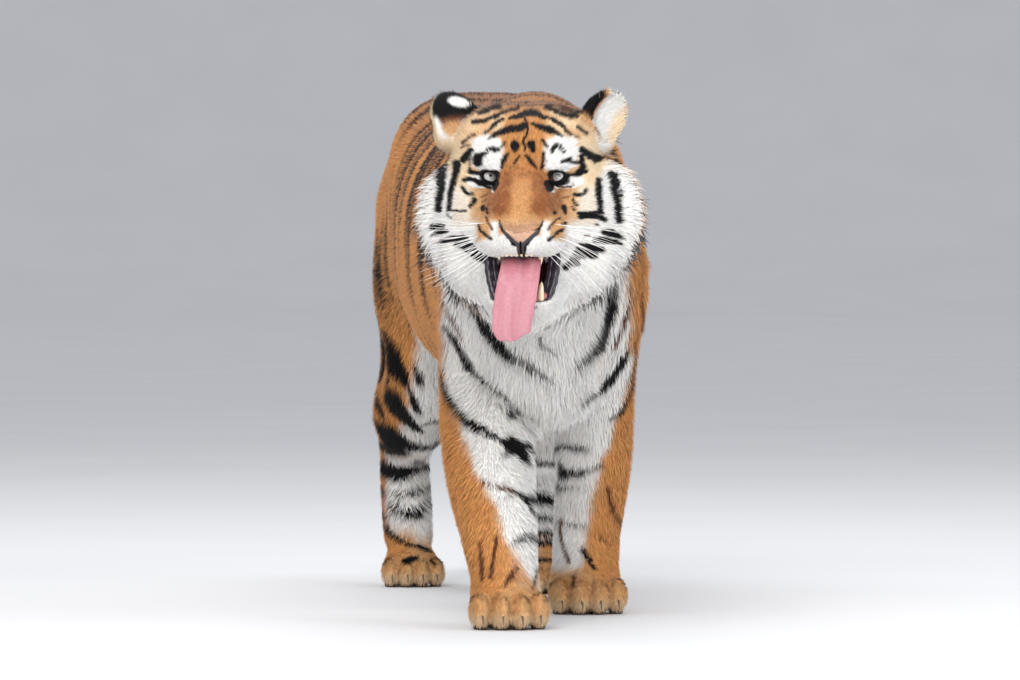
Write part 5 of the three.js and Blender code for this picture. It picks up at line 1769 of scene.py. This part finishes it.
def lattice(rows: int, sides: int) -> list[Array]:
    """The faces over a stack of rings and its two poles.

    Args:
        rows: Number of rings, whose vertices come first.
        sides: Vertices to a ring. The first and the last pole come after all the rings.

    Returns:
        Quads from ring to ring, and the triangles that close the ends.
    """
    i = np.arange(rows - 1)[:, None] * sides
    j = np.arange(sides)
    k = (j + 1) % sides
    quads = np.stack([i + j, i + k, i + sides + k, i + sides + j], -1).reshape(-1, 4)
    first, last, end = rows * sides, rows * sides + 1, (rows - 1) * sides
    caps = [np.stack([np.full(sides, first), k, j], 1), np.stack([np.full(sides, last), end + j, end + k], 1)]
    return [quads, np.concatenate(caps)]


def sweep(
    path: Array, across: Array | Point, half: Array, thick: Array, sides: int = 14, profile: Callable | None = None
) -> Shape:
    """Sweep a closed section along a path.

    Args:
        path: The section's middle at each step.
        across: The direction of the section's width, at each step or the same all along.
        half: Half of the width at each step.
        thick: Half of the thickness at each step.
        sides: Points round the section.
        profile: Gives each point's extra lift in thicknesses from its angle, if any.

    Returns:
        Vertices, and quads and triangles that face outwards.
    """
    along = unit(np.gradient(path, axis=0))
    across = np.broadcast_to(np.asarray(across, float), path.shape)
    across = unit(across - (across * along).sum(1, keepdims=True) * along)
    lift = np.cross(along, across)
    turn = np.linspace(0, 2 * math.pi, sides, endpoint=False)
    rings = path[:, None] + across[:, None] * (half[:, None] * np.cos(turn))[..., None]
    rise = np.sin(turn)[None] + (profile(turn)[None] if profile else 0)
    rings = rings + lift[:, None] * (thick[:, None] * rise)[..., None]
    verts = np.concatenate([rings.reshape(-1, 3), path[:1], path[-1:]])
    return verts.astype(F), lattice(len(path), sides)


def joined(shapes: Sequence[Shape]) -> Shape:
    """Join several shapes into one set of vertices and faces."""
    verts, quads, tris, at = [], [], [], 0
    for v, faces in shapes:
        verts.append(v)
        for f in faces:
            (quads if f.shape[1] == 4 else tris).append(f + at)
        at += len(v)
    return np.concatenate(verts), [np.concatenate(group) for group in (quads, tris) if group]


def curve(points: Sequence[Sequence[float]], count: int) -> Array:
    """Points along a smooth curve through the given ones, of any number of columns."""
    j = np.array(points, float)
    t = np.linspace(0, len(j) - 1, count)
    i = np.clip(np.floor(t).astype(int), 0, len(j) - 2)
    w = (t - i)[:, None]
    pad = np.concatenate([2 * j[:1] - j[1:2], j, 2 * j[-1:] - j[-2:-1]])
    p0, p1, p2, p3 = (pad[i + k] for k in range(4))
    square, cube = 2 * p0 - 5 * p1 + 4 * p2 - p3, 3 * p1 - p0 - 3 * p2 + p3
    return 0.5 * (2 * p1 + (p2 - p0) * w + square * w**2 + cube * w**3)


NOSE_MIDDLE = 3.5  # how far the nose lies to the animal's left
NOSE_DROP, NOSE_HALF = (60, 67, 72, 80, 88, 95, 101, 106, 117), (20, 33.5, 34, 31, 24, 16, 9, 6, 5.5)


@dataclass
class NoseLeather:
    """The bare nose pad with its nostrils, between the two dark wings."""

    cell: float = 1.7

    @staticmethod
    def outline(q: Array) -> Array:
        """The distance outside the pad's outline, seen from in front, for points in head axes."""
        half = np.interp(-q[:, 2], NOSE_DROP, NOSE_HALF)
        d = np.maximum(np.abs(q[:, 0] - NOSE_MIDDLE) - half, np.maximum(q[:, 2] + 74, -118 - q[:, 2]))
        return np.maximum(d, 128 - q[:, 1]).astype(F)

    def at(self, q: Array) -> Array:
        """The distance to the pad, for points in head axes."""
        outer = parts_at(from_head(q)).outer + F(0.5)
        x = np.abs(q[:, 0] - NOSE_MIDDLE)
        outer = outer + F(4.8) * smooth(-87, -76, q[:, 2] - 0.12 * x + 4 * noise(q, 5, 29))
        shell = soft_max(3.0, outer, self.outline(q))
        comma = Blend(3, [
            Limb((7, 177, -98), (15, 173, -91), 2.0, 2.3), Limb((15, 173, -91), (21, 166, -86), 2.2, 1.0),
        ])
        mirrored = np.stack([x, q[:, 1], q[:, 2]], 1).astype(F)
        shell = soft_max(1.5, shell, -comma.at(mirrored))
        groove = np.hypot(x, np.maximum(outer + 0.5, -0.5) * 1.2) - 1.5 * smooth(-92, -99, q[:, 2])
        return soft_max(1.5, shell, -groove.astype(F))

    def build(self) -> bpy.types.Object:
        """Make the piece, which stands for the solid nose."""
        verts, quads = surface_nets(self.at, (-36, 126, -122), (43, 182, -62), self.cell, 4)
        verts, _ = settle(self.at, verts, 2, 1.0)
        outer = parts_at(from_head(verts)).outer + 0.5
        colour = fill(Tone.LEATHER.light, len(verts))
        u = verts[:, 2]
        colour = mix(colour, Tone.TAN.light, 0.1 + 0.4 * smooth(-96, -78, u))
        beyond = np.abs(verts[:, 0] - NOSE_MIDDLE) - np.interp(-u, NOSE_DROP, NOSE_HALF)
        reach = 2.5 + 6.5 * smooth(-66, -90, u)
        edge = np.maximum(smooth(-reach - 1, -reach + 1, beyond), smooth(-95, -100, u))
        colour = mix(colour, np.array(linear(40, 32, 42), F), edge)
        # Darker where the pad sinks below the coat's tips, in the nostrils, the middle groove and the sunk upper
        # edge: painted shade
        colour = mix(colour, np.array(linear(24, 16, 20), F), smooth(-1.2, -3.5, outer) * smooth(-70, -76, u))
        colour = colour * (1 + 0.12 * noise(verts, 3, 5))[:, None]
        piece = make_piece("nose_leather", from_head(verts), [quads], NOSE_FINISH.build(), np.clip(colour, 0, 1))
        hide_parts("nose")
        return piece


@dataclass
class Eye:
    """One eyeball: pale iris, small pupil, dark limbal ring, under a wet surface."""

    name: str
    side: int
    gaze: Point
    rings: int = 64
    spokes: int = 72
    cornea: float = 1.3

    def build(self) -> bpy.types.Object:
        """Make the piece, its pole at the middle of the pupil."""
        axis = unit(np.array(self.gaze, float))
        a = unit(np.cross(axis, (0, 0, 1.0)))
        b = np.cross(a, axis)
        polar = np.linspace(0, math.pi, self.rings + 1)[1:-1]
        turn = np.linspace(0, 2 * math.pi, self.spokes, endpoint=False)
        bulge = self.cornea * np.exp(-((polar / 0.42) ** 4))
        radius = (EYE_RADIUS + bulge)[:, None, None]
        ring = (np.cos(polar)[:, None, None] * axis
                + np.sin(polar)[:, None, None] * (np.cos(turn)[None, :, None] * a + np.sin(turn)[None, :, None] * b))
        centre = np.array((self.side * EYE_CENTRE[0], EYE_CENTRE[1], EYE_CENTRE[2]))
        poles = [centre + axis * (EYE_RADIUS + self.cornea), centre - axis * EYE_RADIUS]
        verts = np.concatenate([(centre + radius * ring).reshape(-1, 3), poles]).astype(F)
        faces = [np.roll(group, -1, 1) for group in lattice(len(polar), self.spokes)]
        r = np.concatenate([np.repeat(polar, self.spokes), [0, math.pi]]) * EYE_RADIUS
        spoke = np.concatenate([np.tile(turn, len(polar)), [0, 0]])
        streak = noise(np.stack([spoke * 9, r * 0.4], 1), 1.0, 8)
        colour = fill(linear(186, 182, 180), len(verts)) * (1 + 0.12 * streak)[:, None]
        for tone, low, high, amount in (  # inner iris, limbal ring, white of the eye, pupil
            (linear(150, 144, 138), 6.5, 3.6, 0.6), (linear(52, 44, 40), 9.6, 11.0, 1.0),
            (linear(120, 92, 84), 11.6, 13.5, 1.0), (linear(22, 20, 22), 2.5, 1.7, 1.0),
        ):
            colour = mix(colour, tone, smooth(low, high, r) * amount)
        piece = make_piece(self.name, from_head(verts), faces, EYE_FINISH.build(), np.clip(colour, 0, 1))
        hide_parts("eye_left" if self.side > 0 else "eye_right")
        return piece


@dataclass
class Mouth:
    """The tongue, teeth, gums and lips."""

    tongue: Sequence[tuple[float, ...]] = (
        (2, 8, -164, 22, 8), (3, 40, -149, 26, 8), (4, 76, -136, 30, 7), (3, 112, -130, 32, 6.5),
        (1, 139, -148, 33, 6.5), (-4, 151, -180, 34, 6.5), (-10, 153, -215, 33, 6), (-12, 149, -245, 30, 5.5),
        (-10, 147, -259, 15, 4),
    )

    def tongue_shape(self, row: Array) -> Shape:
        """The hanging tongue along its rows, grooved along its middle, with soft uneven edges."""
        run = np.linspace(0, 1, len(row))
        half = row[:, 3] * (1 + 0.018 * np.sin(run * 61) * smooth(0.5, 0.8, run))
        half[-6:] *= np.sqrt(np.linspace(1, 0.15, 6))
        across = np.repeat(np.array([[1.0, 0, 0]]), len(row), 0)
        across[:, 2] = 0.10 * smooth(0.55, 1.0, run)

        def groove(turn: Array) -> Array:
            """Lift the edges and sink the middle of the upper side."""
            upper = np.clip(-np.sin(turn), 0, 1)
            return 0.50 * upper * np.exp(-((np.cos(turn) / 0.2) ** 2)) - 0.22 * np.cos(turn) ** 4

        return sweep(row[:, :3], across, half, row[:, 4], 40, groove)

    def build_tongue(self) -> bpy.types.Object:
        """Make the tongue."""
        middle = curve(self.tongue, 90)
        verts, faces = self.tongue_shape(middle)
        nearest = np.abs(verts[:, None, 2] - middle[None, :, 2]).argmin(1)
        side = (verts[:, 0] - middle[nearest, 0]) / np.maximum(middle[nearest, 3], 8)
        colour = fill(linear(196, 128, 140), len(verts))
        # Darker and redder where the tongue lies inside the mouth under the upper jaw: painted shade
        colour = mix(colour, linear(186, 108, 118), smooth(-170, -128, verts[:, 2]) * 0.8)
        # Darker along the middle groove of the hanging part: painted shade in the crease
        crease = smooth(0.13, 0.0, np.abs(side)) * smooth(-232, -190, verts[:, 2])
        colour = mix(colour, linear(176, 104, 120), crease * 0.8)
        streak = noise(np.stack([side * 9, verts[:, 2] / 46], 1), 1.0, 9)
        colour = mix(colour, linear(212, 156, 164), np.clip(0.3 + streak, 0, 1) * 0.5)
        piece = make_piece("tongue_body", from_head(verts), faces, TONGUE_FINISH.build(), np.clip(colour, 0, 1))
        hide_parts("tongue")
        return piece

    @staticmethod
    def cone(foot: Point, tip: Point, radius: float, bend: float = 0.0) -> Shape:
        """One tooth: a curved cone from its gum to its tip."""
        t = np.linspace(0, 1, 12)
        path = np.array(foot) + t[:, None] * (np.array(tip) - np.array(foot))
        path[:, 1] -= bend * np.sin(t * math.pi)
        girth = radius * np.sqrt(np.clip(1 - t**1.8, 0.004, 1))
        return sweep(path, (1, 0, 0), girth * 0.88, girth, 14)

    def build_teeth(self) -> list[bpy.types.Object]:
        """Make the teeth and the gums that hold them."""
        front = (-2.5, -1.5, -0.5, 0.5, 1.5, 2.5)
        teeth = [self.cone((8 * i, 142, -111), (8 * i, 143, -122.5), 4.0) for i in front]
        teeth += [self.cone((7 * i, 106, -204), (7 * i, 108, -188), 3.4) for i in front]
        for side in (-1, 1):
            teeth.append(self.cone((side * 33, 112, -104), (side * 34, 115, -132 - 4 * side), 6.4, 3))
            teeth.append(self.cone((side * 33, 100, -196), (side * 35, 106, -164), 6.4, -3))
            for x, y, foot, tip, taller, radius in ((41, 86, -112, -124, -3, 5.5), (40, 74, -192, -178, 3, 6.0)):
                teeth += [
                    self.cone((side * x, y - 17 * i, foot), (side * x, y - 17 * i, tip + taller * (i == 1)), radius)
                    for i in range(3)
                ]
        verts, faces = joined(teeth)
        ivory = make_piece("teeth", from_head(verts), faces, TOOTH_FINISH.build())
        shapes = []
        for right in (
            ((-43, 50, -116), (-42, 88, -114), (-31, 124, -112), (-12, 138, -110)),
            ((-42, 34, -194), (-41, 74, -191), (-33, 98, -192), (-12, 105, -203)),
        ):
            path = curve([*right, *((-x, y, z) for x, y, z in reversed(right))], 60)
            girth = 7.5 + 0.8 * np.sin(np.linspace(0, 50, len(path)))
            shapes.append(sweep(path, (0, 0, 1), girth, girth * 0.8, 16))
        verts, faces = joined(shapes)
        gums = make_piece("gums", from_head(verts), faces, GUM_FINISH.build())
        return [ivory, gums]

    def build_lips(self) -> bpy.types.Object:
        """Make the dark folds of lip that hang between the jaws at each side."""
        shapes = []
        for side, reach in ((1, 0.0), (-1, -4.0)):
            for offset, forward, girth in ((0.0, 0.0, 6.5), (-9.0, -5.0, 5.0)):
                out = reach + offset
                path = curve([
                    *((side * (x + out), y + forward, z)
                      for x, y, z in ((57, 66, -108), (58, 72, -128), (56, 76, -150), (52, 80, -170))),
                    (side * (46 + reach + offset * 0.7), 86 + forward, -188),
                    (side * (34 + offset * 0.3), 98 + forward, -201),
                ], 50)
                run = np.linspace(0, 1, 50)
                half = girth * (0.9 + 0.25 * np.sin(run * math.pi)) * (1 + 0.07 * np.sin(run * 37))
                shapes.append(sweep(path, (1, 0.35 * side, 0), half, half * 0.72, 18))
            rim = [(side * x, y, z) for x, y, z in ((46, 86, -190), (36, 102, -201), (20, 116, -207), (2, 121, -209))]
            thick = np.linspace(4.6, 3.4, 40)
            shapes.append(sweep(curve(rim, 40), (0, 0, 1), thick, thick * 0.8, 14))
        verts, faces = joined(shapes)
        piece = make_piece("lips", from_head(verts), faces, LIP_FINISH.build())
        return piece


@dataclass
class Whiskers:
    """The long white whiskers, a bent tapered hair on each follicle, made by geometry nodes."""

    radius: float = 0.00062
    bend: float = 0.12
    past_box: float = 0.014  # how far, in metres, a tip may pass the solids' side
    sides: int = 5
    seed: int = 12

    def tree(self, material: bpy.types.Material) -> bpy.types.NodeTree:
        """Build the tree: bent hairs on points, turned to their aim and scaled to their reach."""
        tree = bpy.data.node_groups.new("whiskers", "GeometryNodeTree")
        face = tree.interface
        face.new_socket("Geometry", in_out="INPUT", socket_type="NodeSocketGeometry")
        face.new_socket("Radius", in_out="INPUT", socket_type="NodeSocketFloat")
        face.new_socket("Bend", in_out="INPUT", socket_type="NodeSocketFloat")
        face.new_socket("Geometry", in_out="OUTPUT", socket_type="NodeSocketGeometry")
        new, link = tree.nodes.new, tree.links.new
        group_in, group_out = new("NodeGroupInput"), new("NodeGroupOutput")
        hair = new("GeometryNodeCurveQuadraticBezier")
        hair.inputs["Resolution"].default_value = 14
        middle, end = new("ShaderNodeCombineXYZ"), new("ShaderNodeCombineXYZ")
        middle.inputs["Z"].default_value, end.inputs["Z"].default_value = 0.55, 1.0
        hair.inputs["Start"].default_value = (0, 0, 0)
        link(middle.outputs[0], hair.inputs["Middle"])
        link(group_in.outputs["Bend"], end.inputs["X"])
        link(end.outputs[0], hair.inputs["End"])
        aim, reach = new("GeometryNodeInputNamedAttribute"), new("GeometryNodeInputNamedAttribute")
        aim.data_type, reach.data_type = "FLOAT_VECTOR", "FLOAT"
        aim.inputs["Name"].default_value, reach.inputs["Name"].default_value = "aim", "reach"
        align = new("FunctionNodeAlignRotationToVector")
        align.axis = "Z"
        align.pivot_axis = "AUTO"
        link(aim.outputs["Attribute"], align.inputs["Vector"])
        place = new("GeometryNodeInstanceOnPoints")
        link(group_in.outputs["Geometry"], place.inputs["Points"])
        link(hair.outputs["Curve"], place.inputs["Instance"])
        link(align.outputs["Rotation"], place.inputs["Rotation"])
        link(reach.outputs["Attribute"], place.inputs["Scale"])
        flat = new("GeometryNodeRealizeInstances")
        link(place.outputs["Instances"], flat.inputs["Geometry"])
        along = new("GeometryNodeSplineParameter")
        taper = new("ShaderNodeMapRange")
        taper.inputs["To Min"].default_value, taper.inputs["To Max"].default_value = 1.0, 0.18
        link(along.outputs["Factor"], taper.inputs["Value"])
        girth = new("ShaderNodeMath")
        girth.operation = "MULTIPLY"
        link(taper.outputs["Result"], girth.inputs[0])
        link(group_in.outputs["Radius"], girth.inputs[1])
        ring = new("GeometryNodeCurvePrimitiveCircle")
        ring.inputs["Resolution"].default_value = self.sides
        ring.inputs["Radius"].default_value = 1.0
        tube = new("GeometryNodeCurveToMesh")
        tube.inputs["Fill Caps"].default_value = True
        set_radius = new("GeometryNodeSetCurveRadius")
        link(flat.outputs["Geometry"], set_radius.inputs["Curve"])
        link(girth.outputs[0], set_radius.inputs["Radius"])
        link(set_radius.outputs["Curve"], tube.inputs["Curve"])
        link(ring.outputs["Curve"], tube.inputs["Profile Curve"])
        link(girth.outputs[0], tube.inputs["Scale"])
        done, finish = new("GeometryNodeRealizeInstances"), new("GeometryNodeSetMaterial")
        finish.inputs["Material"].default_value = material
        link(tube.outputs["Mesh"], done.inputs["Geometry"])
        link(done.outputs["Geometry"], finish.inputs["Geometry"])
        link(finish.outputs["Geometry"], group_out.inputs["Geometry"])
        return tree

    def follicles(self) -> tuple[Array, Array, Array]:
        """Roots, aims and reaches of the whiskers, in head axes."""
        rng = np.random.default_rng(self.seed)
        roots, aims, reaches = [], [], []
        for side in (-1, 1):
            for row in range(5):
                for k in range(6):
                    share = k / 5
                    f = 128 - 15 * k + rng.uniform(-3, 3)
                    u = -84 - 6 * row + 4 * share + rng.uniform(-1.5, 1.5)
                    s = 46 + 7 * k - 0.7 * k * k + 3 * math.sin(row)
                    roots.append((side * s, f, u))
                    swing = rng.uniform(-0.08, 0.08)
                    droop = -0.02 - 0.17 * row + rng.uniform(-0.09, 0.09) - 0.06 * share
                    aims.append((side * (0.80 + 0.15 * share), 0.30 - 0.50 * share + swing, droop))
                    longest = 0.036 * math.sin(math.pi * (0.25 + 0.6 * share))
                    reaches.append(0.074 + longest + rng.uniform(-0.010, 0.010))
            for k in range(4):
                roots.append((side * (52 + 4 * k), 14 - 2 * k, 40 + 2 * k))
                aims.append((side * (0.35 + 0.22 * k), 0.55, 0.85 - 0.06 * k))
                reaches.append(0.050 + rng.uniform(-0.008, 0.008))
        return np.array(roots), unit(np.array(aims)), np.array(reaches)

    def build(self) -> bpy.types.Object:
        """Make the piece and turn the modifier's result into a plain mesh."""
        roots, aims, reaches = self.follicles()
        p = from_head(roots)
        for _ in range(6):
            value, slope = gradient(skin_at, p)
            p = p - np.clip(value, -6, 6)[:, None] * slope / np.maximum((slope**2).sum(1, keepdims=True), 0.2)
        p = p.astype(F) - unit(slope) * 1.0
        way = aims @ HEAD_AXES.T
        at = to_frame(p)
        room = float(CAD_BOX[1][0]) + self.past_box - np.sign(way[:, 0]) * at[:, 0]
        reaches = np.minimum(reaches, room / np.maximum(np.abs(way[:, 0]), 0.1))
        mesh = bpy.data.meshes.new("whisker_roots")
        mesh.from_pydata(at.tolist(), [], [])
        for name, kind, key, values in (("aim", "FLOAT_VECTOR", "vector", way), ("reach", "FLOAT", "value", reaches)):
            mesh.attributes.new(name, kind, "POINT").data.foreach_set(key, values.astype(F).reshape(-1))
        source = bpy.data.objects.new("whisker_roots", mesh)
        bpy.context.scene.collection.objects.link(source)
        tree = self.tree(WHISKER_FINISH.build())
        modifier = source.modifiers.new("whiskers", "NODES")
        modifier.node_group = tree
        settings = {"Radius": self.radius, "Bend": self.bend}
        for item in tree.interface.items_tree:
            if item.in_out == "INPUT" and item.name in settings:
                modifier[item.identifier] = settings[item.name]
        graph = bpy.context.evaluated_depsgraph_get()
        made = bpy.data.meshes.new_from_object(source.evaluated_get(graph), depsgraph=graph)
        source.modifiers.remove(modifier)
        bpy.data.objects.remove(source)
        made.name = "whiskers"
        piece = bpy.data.objects.new("whiskers", made)
        bpy.context.scene.collection.objects.link(piece)
        return piece


class Feet:
    """The pads that the animal stands on, and the tips of its drawn-in claws."""

    ROWS = ((0.80, 0.0), (0.96, 2.2), (1.0, 5.0), (0.92, 9.0), (0.6, 13.0))  # a pad's rings: spread, height
    TOP = 14.0

    def pads(self) -> bpy.types.Object:
        """Make the heel and toe pads of all four feet, flat underneath."""
        shapes = []
        turn = np.linspace(0, 2 * math.pi, 28, endpoint=False)
        for (px, py), half in SOLES.values():
            toes = [(i * 0.5, -(0.80 - TOE_ARC * i * i), 0.19, 0.27, 0.0) for i in TOES]
            for dx, dy, rx, ry, lobes in ((0.0, 0.22, 0.50, 0.40, 0.10), *toes):
                lobe = 1 + lobes * np.cos(3 * turn + math.pi / 2)
                rows = []
                for share, z in self.ROWS:
                    x = px + (dx + rx * share * lobe * np.cos(turn)) * half
                    y = py + (dy + ry * share * lobe * np.sin(turn)) * half
                    rows.append(np.stack([x, y, np.full_like(x, z)], 1))
                poles = [(px + dx * half, py + dy * half, z) for z in (0.0, self.TOP)]
                shapes.append((np.concatenate([*rows, poles]).astype(F), lattice(len(rows), len(turn))))
        verts, faces = joined(shapes)
        piece = make_piece("paw_pads", verts, faces, PAD_FINISH.build())
        return piece

    def claws(self) -> bpy.types.Object:
        """Make the claw tips, just clear of the fur of each toe."""
        shapes = []
        for (px, py), half in SOLES.values():
            for i in TOES:
                x = px + i * half * 0.5
                y = py - half * (0.84 - TOE_ARC * i * i) - half * 0.60
                path = curve([(x, y + 10, 24), (x, y + 1, 23), (x, y - 5, 16), (x, y - 6, 10)], 12)
                girth = np.linspace(3.6, 0.5, 12)
                shapes.append(sweep(path, (1, 0, 0), girth * 0.7, girth, 10))
        verts, faces = joined(shapes)
        piece = make_piece("claws", verts, faces, CLAW_FINISH.build())
        return piece


# ---------- Stage ----------


@dataclass
class Stage:
    """The pale floor, the soft lights and the camera."""

    lens: float = 220.6
    camera_at: Point = (-1178.0, -10685.0, 635.0)
    pitch: float = -0.825
    yaw: float = -6.0
    flat: Sequence[float] = (0.5, 4.0, 12.0, 30.0)  # radii of the floor's level rings, in metres
    rise: tuple[float, float, float] = (45.0, 10.0, 1.2)  # where it starts to rise, its bend's radius, its angle
    spokes: int = 96

    def floor(self) -> None:
        """Lay the floor: a wide shallow bowl, level under the animal."""
        mesh = bpy.data.meshes.new("floor")
        z = float(CAD_BOX[0][2])
        start, bend, most = self.rise
        profile = [(r, z) for r in self.flat]
        profile += [(start + bend * math.sin(a), z + bend - bend * math.cos(a)) for a in np.linspace(0, most, 16)]
        turns = np.linspace(0, 2 * math.pi, self.spokes, endpoint=False)
        rings = [(r * math.cos(a), r * math.sin(a), h) for r, h in profile for a in turns]
        quads = lattice(len(profile), self.spokes)[0][:, [0, 3, 2, 1]]
        mesh.from_pydata(rings, [], [*quads.tolist(), list(range(self.spokes))])
        mesh.polygons.foreach_set("use_smooth", np.full(len(mesh.polygons), True))
        floor = bpy.data.objects.new("floor", mesh)
        bpy.context.scene.collection.objects.link(floor)
        material = bpy.data.materials.new("studio_floor")
        material.use_nodes = True
        nodes, links = material.node_tree.nodes, material.node_tree.links
        shader = nodes["Principled BSDF"]
        kinds = ("ShaderNodeTexCoord", "ShaderNodeTexNoise", "ShaderNodeValToRGB")
        place, cloud, ramp = (nodes.new(kind) for kind in kinds)
        cloud.inputs["Scale"].default_value = 1.2
        ramp.color_ramp.elements[0].color = (*linear(222, 222, 224), 1)
        ramp.color_ramp.elements[1].color = (*linear(230, 230, 231), 1)
        links.new(place.outputs["Object"], cloud.inputs["Vector"])
        links.new(cloud.outputs["Fac"], ramp.inputs["Fac"])
        links.new(ramp.outputs["Color"], shader.inputs["Base Color"])
        shader.inputs["Roughness"].default_value = 0.85
        mesh.materials.append(material)

    @staticmethod
    def light(name: str, at: Point, aim: Point, size: float, power: float, tint: Point) -> None:
        """Add one soft light.

        Args:
            name: The light's name.
            at: Where it hangs, in metres.
            aim: The point that it shines at.
            size: Its width in metres.
            power: Its power in watts.
            tint: Its colour.
        """
        data = bpy.data.lights.new(name, "AREA")
        data.shape, data.size, data.energy, data.color = "DISK", size, power, tint
        lamp = bpy.data.objects.new(name, data)
        lamp.location = at
        lamp.rotation_euler = direction(np.array(aim, float) - np.array(at, float))
        bpy.context.scene.collection.objects.link(lamp)

    def build(self) -> None:
        """Set the whole stage."""
        scene = bpy.context.scene
        self.floor()
        world = bpy.data.worlds.new("studio")
        world.use_nodes = True
        world.node_tree.nodes["Background"].inputs["Color"].default_value = (*WORLD_LIGHT, 1)
        world.node_tree.nodes["Background"].inputs["Strength"].default_value = 0.70
        scene.world = world
        self.light("key", (-2.6, -6.0, 5.2), (0, 0, 0.5), 4.5, 300, (1.0, 0.98, 0.95))
        self.light("fill", (4.5, -4.0, 2.4), (0, 0, 0.5), 4.0, 110, (0.95, 0.98, 1.0))
        self.light("low", (-0.6, -6.0, 0.9), (0, -1, 0.45), 2.6, 80, (1.0, 0.99, 0.97))
        self.light("top", (0.0, 1.0, 6.0), (0, 0, 0.5), 6.0, 170, (1, 1, 1))
        scene.view_settings.view_transform = "Standard"
        data = bpy.data.cameras.new("camera")
        data.lens, data.sensor_width = self.lens, 36.0
        data.clip_end = 200.0
        camera = bpy.data.objects.new("camera", data)
        camera.location = to_frame(np.array([self.camera_at]))[0]
        camera.rotation_euler = (math.radians(90 + self.pitch), 0, math.radians(self.yaw))
        scene.collection.objects.link(camera)
        scene.camera = camera


def direction(v: Array) -> tuple[float, float, float]:
    """The Euler angles that turn a light's -Z along a direction."""
    x, y, z = unit(v)
    return math.acos(max(-1.0, min(1.0, -z))), 0.0, math.atan2(y, x) - math.pi / 2


FLESH_NODES = (  # the solids that the one skin stands for
    "head", "lower_jaw", "ear_left", "ear_right", "neck", "chest", "barrel", "rump",
    "tail_base", "tail_middle", "tail_tip",
    "fore_left_upper", "fore_left_lower", "fore_left_paw", "fore_right_upper", "fore_right_lower", "fore_right_paw",
    "hind_left_thigh", "hind_left_shank", "hind_left_paw", "hind_right_thigh", "hind_right_shank", "hind_right_paw",
)


def main() -> None:
    """Build the tiger piece by piece, and set the stage."""
    logging.basicConfig(level=logging.INFO, format="%(message)s")
    markings = Markings()
    skin = Skin()
    skin.mesh()
    hide = skin.dress(markings)
    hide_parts(*FLESH_NODES)
    pieces = [hide]
    coat = Coat(skin, markings).build()
    pieces += coat
    pieces.append(NoseLeather().build())
    pieces.append(Eye("eyeball_left", 1, (-0.02, 0.93, 0.36)).build())
    pieces.append(Eye("eyeball_right", -1, (0.26, 0.89, 0.36)).build())
    mouth = Mouth()
    pieces += [mouth.build_tongue(), *mouth.build_teeth(), mouth.build_lips()]
    pieces.append(Whiskers().build())
    feet = Feet()
    pieces += [feet.pads(), feet.claws()]
    for piece in pieces:
        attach(piece, BODY)
        LOG.info("%s: %d faces", piece.name, len(piece.data.polygons))
    Stage().build()


if __name__ == "__main__":
    main()
